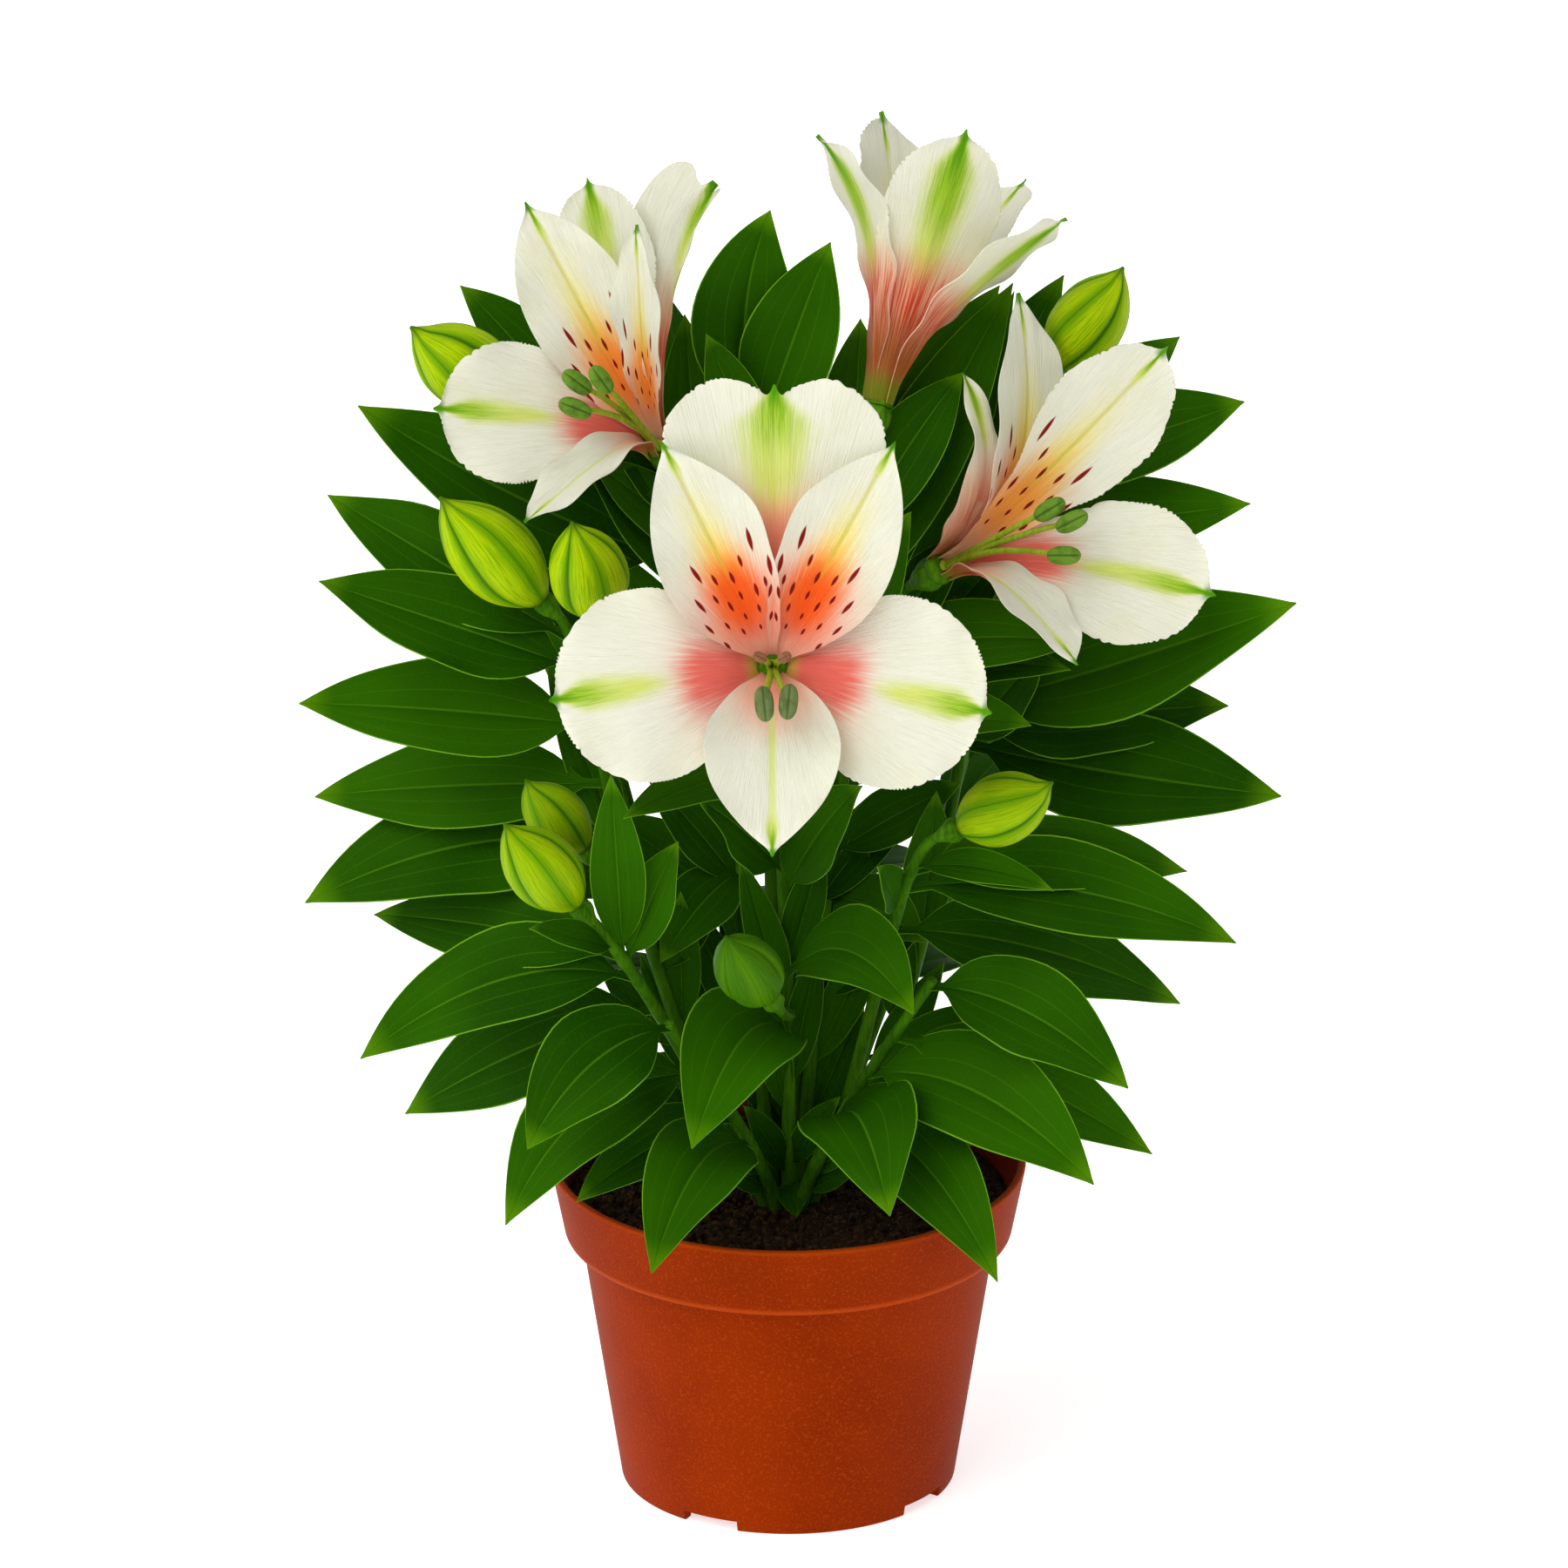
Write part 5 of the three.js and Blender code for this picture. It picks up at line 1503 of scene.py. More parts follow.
@dataclass(frozen=True)
class Pot:
    """The moulded nursery pot: a tapered body on a notched foot ring, under a flared collar with a lip."""

    height: float = 85
    rim_radius: float = 60
    collar_height: float = 19
    collar_foot_radius: float = 56.2
    body_top_radius: float = 52.2
    foot_radius: float = 42
    foot_ring_width: float = 3.2
    foot_height: float = 3.2
    wall: float = 1.8
    collar_wall: float = 2.2
    collar_round: float = 1.4
    lip_width: float = 2.1
    notch_bearings: tuple = (-28, 54, 144, 236)
    notch_width: float = 15
    notch_height: float = 2.8
    drain_count: int = 6
    drain_radius: float = 4
    drain_circle: float = 25
    straight_shares: tuple = (0.04, 0.5, 0.96, 1)
    sides: int = 160

    @property
    def shoulder(self) -> float:
        """Height where the collar starts."""
        return self.height - self.collar_height

    @property
    def floor(self) -> float:
        """Height of the floor's upper face."""
        return self.foot_height + self.wall

    def inner_radius(self, height: float) -> float:
        """Returns the radius of the body's inner face at a height."""
        share = (height - self.floor) / (self.shoulder - self.floor)
        return between((self.foot_radius - self.wall, self.body_top_radius - self.wall), share)

    def _profile(self) -> Vec:
        """Lists the wall's outline from the underside round to the floor, with every corner rounded."""
        corners = (
            (self.foot_radius - self.foot_ring_width, self.foot_height, 0.5),
            (self.foot_radius - self.foot_ring_width, 0, 0.5), (self.foot_radius, 0, 0.6),
            (self.body_top_radius, self.shoulder - self.collar_round / 2, 0.6),
            (self.collar_foot_radius, self.shoulder, 1.3), (self.rim_radius, self.height, 1.1),
            (self.rim_radius - self.lip_width, self.height, 0.9),
            (self.collar_foot_radius - self.collar_wall, self.shoulder + self.collar_wall, 1.2),
            (self.inner_radius(self.shoulder), self.shoulder + self.collar_round, 0.8),
            (self.inner_radius(self.floor), self.floor, 1.5),
        )
        ends = (vec(0.02, self.foot_height, 0), vec(0.02, self.floor, 0))
        places = [vec(radius, height, 0) for radius, height, _ in corners]
        line = [ends[0]]
        for i, (_, _, fillet) in enumerate(corners):
            before = places[i - 1] if i else ends[0]
            after = places[i + 1] if i + 1 < len(corners) else ends[1]
            start = places[i] + unit(before - places[i]) * fillet
            end = places[i] + unit(after - places[i]) * fillet
            last = line[-1]
            line.extend(last + (start - last) * share for share in self.straight_shares)
            line.extend(bezier([start, places[i], end], np.linspace(0, 1, 6)[1:]))
        line.append(ends[1])
        kept = [line[0]]
        for place in line[1:]:
            if np.linalg.norm(place - kept[-1]) > 0.05:
                kept.append(place)
        return np.array(kept)[:, :2]

    def _cutter(self) -> Object:
        """Makes the blocks and rods that cut the notches and drain holes."""
        skin = Skin()
        stand_in = bpy.data.materials.new("cutter")
        for bearing in self.notch_bearings:
            out = heading(bearing - 90)
            aside = np.cross(vec(0, 0, 1), out)
            middle = out * self.foot_radius
            half, deep = self.notch_width / 2, 2 * self.foot_ring_width
            round_about = [(-half, -deep), (half, -deep), (half, deep), (-half, deep)]
            levels = (-self.notch_height, self.notch_height)
            grid = [
                [middle + aside * a - out * b + vec(0, 0, level) for a, b in round_about] for level in levels
            ]
            skin.tube(np.array(grid), stand_in)
        for i in range(self.drain_count):
            middle = heading(360 * (i + 0.5) / self.drain_count) * self.drain_circle
            centres = np.array([middle + vec(0, 0, h) for h in (-self.wall, 3 * self.foot_height)])
            skin.tube(rings(centres, np.full((2, 32), self.drain_radius), *LEVEL), stand_in)
        return skin.build("pot_cutter")

    def build(self, finishes: Finishes) -> None:
        """Builds the pot in place of its node.

        Args:
            finishes: The plant's materials.
        """
        profile = self._profile()
        centres = np.column_stack([np.zeros((len(profile), 2)), profile[:, 1]])
        radii = np.repeat(profile[:, :1], self.sides, axis=1)
        grid = rings(centres, radii, *LEVEL)
        skin = Skin()
        skin.tube(grid, finishes.pot)
        piece = skin.build("pot_body")
        cutter = self._cutter()
        cut = piece.modifiers.new("Cut", "BOOLEAN")
        cut.operation = "DIFFERENCE"
        cut.solver = "EXACT"
        cut.object = cutter
        mesh = evaluated_mesh(piece)
        piece.modifiers.clear()
        piece.data = mesh
        mesh.materials.clear()
        mesh.materials.append(finishes.pot)
        mesh.polygons.foreach_set("material_index", [0] * len(mesh.polygons))
        mesh.polygons.foreach_set("use_smooth", [True] * len(mesh.polygons))
        mesh.set_sharp_from_angle(angle=math.radians(48))
        bpy.data.objects.remove(cutter)
        hand_over(piece, "pot")


class CrumbNodes(Nodes):
    """Geometry Nodes that scatter crumbs of soil over a surface, each with its own size, turn and tone."""

    def __init__(self) -> None:
        """Makes the tree."""
        super().__init__(bpy.data.node_groups.new("Crumbs", "GeometryNodeTree"))
        ground, crumb, density, smallest, largest, seed, material = self.enter(
            Geometry="Geometry", Crumb="Object", Density="Float", Smallest="Vector", Largest="Vector",
            Seed="Int", Material="Material",
        )
        inputs = {"Mesh": ground, "Density": density, "Seed": seed}
        points = self.add("GeometryNodeDistributePointsOnFaces", inputs, "Points")
        shape = self.add("GeometryNodeObjectInfo", {"Object": crumb}, "Geometry")
        size = self._random("FLOAT_VECTOR", 0, {0: smallest, 1: largest, "Seed": seed})
        turn = self._random("FLOAT_VECTOR", 0, {1: (math.tau, math.tau, math.tau)})
        inputs = {"Points": points, "Instance": shape, "Scale": size, "Rotation": turn}
        placed = self.add("GeometryNodeInstanceOnPoints", inputs, "Instances")
        inputs = {"Geometry": placed, "Name": "tone", "Value": self._random("FLOAT", 1, {})}
        store = "GeometryNodeStoreNamedAttribute"
        self.dress(self.add(store, inputs, "Geometry", domain="INSTANCE", data_type="FLOAT"), material)

    def _random(self, kind: str, output: int, inputs: dict) -> Wire:
        """Adds a random value of a kind, at the output that the kind uses."""
        return self.add("FunctionNodeRandomValue", inputs, output, data_type=kind)


@dataclass(frozen=True)
class Soil:
    """The potting soil: a body that fills the pot, its rough top strewn with crumbs and bits of bark."""

    pot: Pot
    top: float = 75
    gap: float = 0.35
    roughness: float = 1.1
    sides: int = 120
    steps: int = 44
    seed: int = 7

    def _height(self, x: float, y: float) -> float:
        """Returns the height of the rough top at a place."""
        broad = noise.fractal(Vector((x * 0.055, y * 0.055, 3.1)), 1.0, 2.0, 2)
        fine = noise.fractal(Vector((x * 0.24, y * 0.24, 8.7)), 0.9, 2.0, 4)
        return self.top + self.roughness * (0.9 * broad + 0.75 * fine)

    def _surface(self, radii: Vec) -> Vec:
        """Returns rings of the rough top at radii."""
        centres = np.zeros((len(radii), 3))
        grid = rings(centres, np.repeat(radii[:, None], self.sides, axis=1), *LEVEL)
        for place in grid.reshape(-1, 3):
            place[2] = self._height(place[0], place[1])
        return grid

    def build(self, finishes: Finishes) -> None:
        """Builds the soil in place of its node.

        Args:
            finishes: The plant's materials.
        """
        pot, wide = self.pot, self.pot.collar_foot_radius - self.pot.collar_wall - self.gap
        sides = (
            (pot.inner_radius(pot.floor) - self.gap, pot.floor + self.gap),
            (pot.inner_radius(pot.shoulder) - self.gap, pot.shoulder + pot.collar_round + self.gap),
            (wide, pot.shoulder + pot.collar_wall + self.gap), (wide + 0.9, self.top - 1.5),
        )
        walls = [
            rings(vec(0, 0, height)[None], np.full((1, self.sides), radius), *LEVEL)[0]
            for radius, height in sides
        ]
        rough = self._surface(np.linspace(wide + 0.9, 0.4, self.steps))
        skin = Skin()
        middle = (vec(0, 0, pot.floor + self.gap), vec(0, 0, self._height(0, 0)))
        skin.tube(np.concatenate([np.array(walls), rough]), finishes.soil, 0.3, middle)
        self._strew(skin, rough[2:], finishes.soil)
        hand_over(skin.build("soil_bed"), "soil")

    def _strew(self, skin: Skin, rough: Vec, material: Material) -> None:
        """Adds crumbs and bark to the top."""
        field_skin = Skin()
        field_skin.tube(rough, material, 0.3)
        ground = field_skin.build("soil_ground")
        crumb = self._crumb(material)
        nodes = CrumbNodes()
        kinds = (
            {"Density": 118000.0, "Smallest": (0.0005, 0.0005, 0.0005), "Largest": (0.0015, 0.0013, 0.0012)},
            {"Density": 30000.0, "Smallest": (0.0014, 0.0012, 0.001), "Largest": (0.0026, 0.0022, 0.0018)},
            {"Density": 16000.0, "Smallest": (0.0024, 0.0007, 0.0005), "Largest": (0.0052, 0.0014, 0.0009)},
        )
        for i, kind in enumerate(kinds):
            mesh = nodes.run(ground, Crumb=crumb, Seed=self.seed + i, Material=material, **kind)
            skin.take(mesh, material, "tone")
            bpy.data.meshes.remove(mesh)
        bpy.data.objects.remove(ground)
        bpy.data.objects.remove(crumb)

    def _crumb(self, material: Material) -> Object:
        """Makes one lumpy crumb of a few dozen faces and radius about 1."""
        rng = np.random.default_rng(self.seed)
        heights = np.array([-0.8, -0.25, 0.35, 0.85])
        radii = np.sqrt(1 - heights**2)[:, None] * rng.uniform(0.75, 1.15, (4, 6))
        centres = np.column_stack([np.zeros((4, 2)), heights]) / MM
        skin = Skin()
        skin.tube(rings(centres, radii / MM, *LEVEL), material)
        return skin.build("soil_crumb")


# Leaves and stems


@dataclass(frozen=True)
class LeafBlade:
    """The shape that all leaves share: a narrow petiole, a lance-shaped blade with sunken veins, a point."""

    fold: float = 0.22
    crest: float = 0.45
    petiole_share: float = 0.1
    petiole_breadth: float = 0.09
    swell: float = 0.75
    taper: float = 1.0
    point: float = 0.012
    thickness: float = 0.5
    vein_apart: float = 0.4
    quilting: float = 0.1
    waves: float = 0.9
    twist: float = 9.0
    rows: int = 27
    half_columns: tuple = (0, 0.06, 0.13, 0.22, 0.31, 0.4, 0.5, 0.61, 0.72, 0.83, 0.93, 0.98, 1)
    midrib_depth: float = 0.3
    midrib_width: float = 0.06
    tip_droop: tuple[float, float] = (-0.5, 1.8)

    def breadth(self, t: Vec) -> Vec:
        """Returns how wide the leaf is at shares of its length, against its widest."""
        along = np.clip((t - self.petiole_share) / (1 - self.petiole_share), 0, 1)
        widest = self.swell / (self.swell + self.taper)
        full = widest**self.swell * (1 - widest) ** self.taper
        body = along**self.swell * (1 - along) ** self.taper / full
        stalk = np.where(t < 0.5, self.petiole_breadth, 0)
        return np.maximum((body**3 + stalk**3) ** (1 / 3), self.point)

    def grow(self, skin: Skin, start: Vec, plan: LeafPlan, rng: Dice, finishes: Finishes) -> None:
        """Adds one leaf.

        Args:
            skin: Skin that it is added to.
            start: Where it leaves the stem, in mm.
            plan: Its plan.
            rng: Source of the small differences between leaves.
            finishes: The plant's materials.
        """
        tip = plan.tip if plan.tip is not None else start + plan.reach
        length = np.linalg.norm(tip - start)
        middle = start + (tip - start) * self.crest + vec(plan.sway, 0, plan.arch * length)
        rib = [start, middle, tip]
        facing = vec(0, -0.72, 0.69)
        if plan.outward:
            facing = unit(vec(middle[0], middle[1], 0)) * 0.62 + vec(0, 0, 0.78)
        share = np.linspace(0, 1, self.rows)
        t = 0.35 * share + 0.65 * (0.5 - 0.5 * np.cos(math.pi * share))
        s = mirrored(self.half_columns)
        along = bezier_heading(rib, t)
        normal = facing - along * (along @ facing)[:, None]
        normal /= np.linalg.norm(normal, axis=1)[:, None]
        twist = np.radians(rng.uniform(-self.twist, self.twist))
        normal = turned(normal, along, twist * smooth_step(t, 0.1, 1))
        side = np.cross(normal, along)
        half = plan.width / 2 * self.breadth(t)[:, None]
        places = bezier(rib, t)[:, None, :] + side[:, None, :] * (half * s)[:, :, None]
        rise = self._relief(t[:, None], s[None, :], half, plan, rng)
        places = places + normal[:, None, :] * rise[:, :, None]
        stalk = 1 + 1.1 * np.exp(-t / 0.07)[:, None]
        thick = self.thickness / 2 * stalk * (1 - 0.55 * s[None, :] ** 4)
        offset = normal[:, None, :] * thick[:, :, None]
        uv = np.stack(np.broadcast_arrays(t[:, None], 0.5 + 0.5 * s[None, :]), axis=2)
        skin.blade(places + offset, places - offset, uv, finishes.leaf, rng.uniform())

    def _relief(self, t: Vec, s: Vec, half: Vec, plan: LeafPlan, rng: Dice) -> Vec:
        """Returns how far the blade stands out of its plane: fold, swellings, waves and curl."""
        open_blade = np.sin(math.pi * np.clip(t, 0, 1)) ** 0.6
        relief = self.fold * np.abs(s) * half
        relief = relief + self.quilting * np.sin(math.pi * np.abs(s) / self.vein_apart) ** 2 * open_blade
        relief = relief - self.midrib_depth * np.exp(-((s / self.midrib_width) ** 2)) * open_blade
        for hand in (-1, 1):
            waves = rng.uniform(1.6, 2.8)
            shift = rng.uniform(0, math.tau)
            height = self.waves * plan.width / 20 * rng.uniform(0.5, 1)
            margin = np.where(s * hand > 0, s**2, 0)
            relief = relief + height * margin * np.sin(math.tau * waves * t + shift) * open_blade
        return relief - rng.uniform(*self.tip_droop) * t**5


# How far under a bloom's hub or a bud's base its ovary starts, and the ovary's rows of height and radius.
BLOOM_OVARY = (
    10.35, ((-1.2, 1.3), (0.4, 1.5), (2.5, 2.3), (4.5, 3.25), (6.5, 3.85), (8.5, 3.9), (10.2, 3.4)),
)
BUD_OVARY = (
    7.35, ((-1.2, 1.25), (0.3, 1.4), (2, 2), (3.4, 2.6), (4.6, 2.95), (6, 2.85), (7.2, 2.4)),
)


@dataclass(frozen=True)
class Seat:
    """The end of a stalk under a flower or bud: where the ovary starts, the way it points and its shape."""

    start: Vec
    aim: Vec
    shape: tuple[tuple[float, float], ...]

    @classmethod
    def under(cls, flower: str) -> "Seat":
        """Finds the seat of a flower or bud by its name."""
        plan = FLOWERS[flower]
        if isinstance(plan, BudPlan):
            end, aim, (drop, shape) = plan.base, unit(plan.tip - plan.base), BUD_OVARY
        else:
            end, aim, (drop, shape) = plan.hub, plan.way, BLOOM_OVARY
        return cls(end - aim * drop, aim, shape)


@dataclass(frozen=True)
class LeafyStem:
    """A stem with its leaves, side stalks and ovaries, grown as one piece."""

    plan: StemPlan
    blade: LeafBlade = LeafBlade()
    foot_radius: float = 1.8
    top_radius: float = 1.35
    branch_radius: float = 1.3
    root_depth: float = 12
    collar: float = 1.6
    joint_swelling: float = 0.1
    joint_reach: float = 0.022
    sides: int = 14
    steps: int = 64
    ovary_ribs: int = 6
    ovary_rows: int = 20
    ovary_sides: int = 36
    rib_height: float = 0.09

    def build(self, soil_top: float, finishes: Finishes, tubes: TubeNodes) -> None:
        """Builds the stem in place of its node.

        Args:
            soil_top: Height of the soil in mm.
            finishes: The plant's materials.
            tubes: Nodes that make the stalks.
        """
        plan = self.plan
        rng = dice(plan.name, 31)
        skin = Skin()
        curve, seats = self._curve(soil_top)
        root = vec(*plan.root, soil_top - self.root_depth)
        joints = [one.share for one in plan.leaves] + [branch.start for branch in plan.branches]
        lines = [self._stalk(curve, self.foot_radius, self.top_radius, joints, root)]
        for one in (*plan.leaves, *plan.inner_leaves):
            self.blade.grow(skin, bezier(curve, one.share)[0], one, rng, finishes)
        for branch in plan.branches:
            line, seat = self._branch(curve, branch)
            seats.append(seat)
            joints = [one.share for one in branch.leaves]
            lines.append(self._stalk(line, self.branch_radius, self.branch_radius, joints))
            for one in branch.leaves:
                self.blade.grow(skin, bezier(line, one.share)[0], one, rng, finishes)
        skin.take(tubes.sweep(lines, self.sides, finishes.stem), finishes.stem)
        for seat in seats:
            self._ovary(skin, seat, finishes)
        hand_over(skin.build(f"{plan.name}_living"), plan.name)

    def _curve(self, soil_top: float) -> tuple[list[Vec], list[Seat]]:
        """Returns the stem's curve and the seat at its end, if it bears a flower."""
        foot = vec(*self.plan.root, soil_top + self.collar)
        if not self.plan.flower:
            return [foot, self.plan.bend, self.plan.knee, self.plan.top], []
        seat = Seat.under(self.plan.flower)
        return [foot, self.plan.bend, seat.start - seat.aim * self.plan.lead, seat.start], [seat]

    def _branch(self, curve: list[Vec], branch: BranchPlan) -> tuple[list[Vec], Seat]:
        """Returns a side stalk's curve and its seat."""
        seat = Seat.under(branch.flower)
        start = bezier(curve, branch.start)[0]
        bend = start + bezier_heading(curve, branch.start)[0] * branch.lead
        return [start, bend, seat.start - seat.aim * branch.lead, seat.start], seat

    def _stalk(
        self, curve: list[Vec], thick: float, thin: float, joints: list[float], root: Vec | None = None
    ) -> tuple[Vec, Vec]:
        """Returns the points and radii of a stalk, a little swollen where leaves grow."""
        t = np.linspace(0, 1, self.steps)
        points = bezier(curve, t)
        radii = thick + (thin - thick) * t
        for joint in joints:
            radii = radii * (1 + self.joint_swelling * np.exp(-(((t - joint) / self.joint_reach) ** 2)))
        if root is not None:
            points = np.concatenate([[root], points])
            radii = np.concatenate([[thick], radii])
        return points, radii

    def _ovary(self, skin: Skin, seat: Seat, finishes: Finishes) -> None:
        """Adds the ribbed ovary under a flower."""
        shape = np.array(seat.shape)
        at = np.linspace(shape[0, 0], shape[-1, 0], self.ovary_rows)
        radii = spline(shape, at)
        ribs = self.rib_height * np.cos(self.ovary_ribs * full_turn(self.ovary_sides))
        ribs = 1 + ribs[None, :] * smooth_step(at, 0.5, 4)[:, None]
        centres = seat.start + np.outer(at, seat.aim)
        skin.tube(rings(centres, radii * ribs, *cross_frame(seat.aim)), finishes.ovary)


# Flowers


@dataclass(frozen=True)
class TepalBlade:
    """The shape that all tepals share: a narrow claw that runs out of the tube into a cupped, veined limb."""

    claw_radius: float = 3.1
    whorl_apart: float = 0.5
    claw_height: float = 0.7
    outer_cup: float = 0.18
    inner_cup: float = 0.5
    cup_eases: float = 0.8
    outer_throat: float = 2.4
    inner_throat: float = 0.8
    thickness: float = 0.6
    tube_widens: float = 0.8
    tube_share: float = 0.7
    scallop_pitch: float = 2.0
    scallop_depth: float = 0.75
    slimmed: float = 0.2
    plain_rows: int = 56
    scalloped_rows: int = 118
    claw_rows: int = 24
    half_columns: tuple = (0, 0.035, 0.09, 0.18, 0.3, 0.43, 0.56, 0.68, 0.79, 0.88, 0.945, 0.985, 1)

    def grow(self, skin: Skin, bloom: BloomPlan, plan: TepalPlan, rng: Dice, finish: Material) -> None:
        """Adds one tepal.

        Args:
            skin: Skin that it is added to.
            bloom: The flower's plan.
            plan: The tepal's plan.
            rng: Source of the small differences between tepals.
            finish: Its material.
        """
        axis = bloom.way
        height = np.dot(plan.tip, axis)
        out = unit(plan.tip - axis * height)
        claw = self.claw_radius + (self.whorl_apart if plan.is_outer else -self.whorl_apart)
        throat = claw + (self.outer_throat if plan.is_outer else self.inner_throat)
        rib = [
            bloom.hub + out * claw + axis * self.claw_height,
            bloom.hub + out * throat + axis * bloom.tube,
            bloom.hub + plan.tip,
        ]
        if bloom.has_closed_tube:
            rib[1:2] = [
                bloom.hub + out * (claw + self.tube_widens) + axis * bloom.tube * self.tube_share,
                bloom.hub + out * (throat + self.tube_widens) + axis * bloom.tube * (1 + plan.bow),
            ]
        rib[-2] = rib[-2] + seen_offset(*plan.sway)
        length = curve_length(rib)
        mid, edge, breadth, outward, reach = self._outline(plan, length)
        s = mirrored(self.half_columns)[None, :]
        hold = np.abs(s) ** 16
        ruffle = self._ruffle(plan, reach, edge / length, breadth, rng)
        shift = np.where(s < 0, ruffle[0][:, None], ruffle[1][:, None]) * hold
        y = mid[:, None] + (edge - mid)[:, None] * s**2 + shift * outward[0][:, None]
        share = y / length
        x = s * breadth[:, None] + np.sign(s) * shift * outward[1][:, None]
        if plan.kind is MARKED:
            towards_midline = s * plan.hand < 0
            low = smooth_step(share, 0.05, 0.22) * (1 - smooth_step(share, 0.42, 0.7))
            x = x * (1 - self.slimmed * low * towards_midline)
        x = x * (1 + plan.lean * np.sign(s))
        t = at_lengths(rib, y.ravel())
        along = bezier_heading(rib, t)
        normal = np.outer(along @ out, axis) - np.outer(along @ axis, out)
        normal = turned(normal, along, np.radians(plan.turn * np.clip(t, 0, 1)))
        side = np.cross(normal, along)
        relief = self._relief(plan, share, s, x, breadth[:, None], reach[:, None], rng)
        places = bezier(rib, t) + side * x.reshape(-1, 1) + normal * relief.reshape(-1, 1)
        thin = 1 - 0.5 * np.abs(s) ** 3
        taper = 1 - 0.45 * smooth_step(share, 0.5, 1.0)
        offset = normal * (self.thickness / 2 * thin * taper).reshape(-1, 1)
        shape = (*y.shape, 3)
        uv = np.stack([share, 0.5 + plan.hand * x / (2 * plan.width)], axis=2)
        front, back = (places + offset).reshape(shape), (places - offset).reshape(shape)
        skin.blade(front, back, uv, finish, bloom.warmth)

    def _outline(self, plan: TepalPlan, length: float) -> tuple[Vec, Vec, Vec, Vec, Vec]:
        """Follows the edge.

        Returns:
            For each row in mm: how far along the tepal it starts on the midrib and ends at the edge, half
            its breadth, the two parts of the direction out of the edge, and the way run along the edge.
        """
        rows = np.array(plan.outline.rows) * (length, length, plan.width / 2)
        gaps = np.hypot(np.diff(rows[:, 1]), np.diff(rows[:, 2]))
        way = np.concatenate([[0], np.cumsum(gaps)])
        limb = np.interp(0.35 * length, rows[:, 1], way)
        if plan.outline.scalloped:
            claw = np.linspace(0, limb, self.claw_rows)
            at = np.concatenate([claw, np.linspace(limb, way[-1], self.scalloped_rows)[1:]])
        else:
            at = np.linspace(0, way[-1], self.plain_rows)
        mid, edge, breadth = spline(np.column_stack([way, rows]), at).T
        breadth = np.maximum(breadth, 0.12)
        forward, aside = np.gradient(edge, at), np.gradient(breadth, at)
        size = np.hypot(forward, aside) + 1e-6
        return mid, edge, breadth, np.stack([-aside / size, forward / size]), at

    def _ruffle(self, plan: TepalPlan, way: Vec, share: Vec, breadth: Vec, rng: Dice) -> list[Vec]:
        """Returns how far the scalloped edge stands out on either side."""
        where = smooth_step(share, 0.36, 0.55) * smooth_step(breadth, 1.5, 4)
        sides = []
        for _ in range(2):
            shift, slow = rng.uniform(0, math.tau, 2)
            pitch = self.scallop_pitch * (1 + 0.16 * np.sin(0.21 * way + slow))
            scallops = np.abs(np.sin(math.pi * way / pitch + shift)) ** 0.7 - 0.6
            depth = self.scallop_depth * (0.75 + 0.4 * np.sin(0.37 * way + shift))
            sides.append(scallops * depth * where * plan.outline.scalloped)
        return sides

    def _relief(
        self, plan: TepalPlan, t: Vec, s: Vec, x: Vec, breadth: Vec, way: Vec, rng: Dice
    ) -> Vec:
        """Returns how far the limb stands out of its plane: cup, midrib channel, wide ribs and waves."""
        cup = self.outer_cup if plan.is_outer else self.inner_cup
        relief = cup * (1 - self.cup_eases * np.clip(t, 0, 1)) * s**2 * breadth
        limb = smooth_step(t, 0.12, 0.4)
        relief = relief - 0.55 * np.exp(-((x / 1.3) ** 2)) * limb * (1 - 0.5 * smooth_step(t, 0.8, 1))
        relief = relief + 0.13 * np.sin(math.tau * x / 3.3 + 0.6) * limb * (1 - np.abs(s) ** 6)
        relief = relief + plan.fold * smooth_step(s, 0.05, 0.25) * smooth_step(t, 0.3, 0.6)
        for hand in (-1, 1):
            waves, shift = rng.uniform(0.045, 0.065), rng.uniform(0, math.tau)
            margin = np.where(s * hand > 0, np.abs(s) ** 3, 0)
            relief = relief + 0.8 * margin * np.sin(waves * math.tau * way + shift) * limb
        return relief


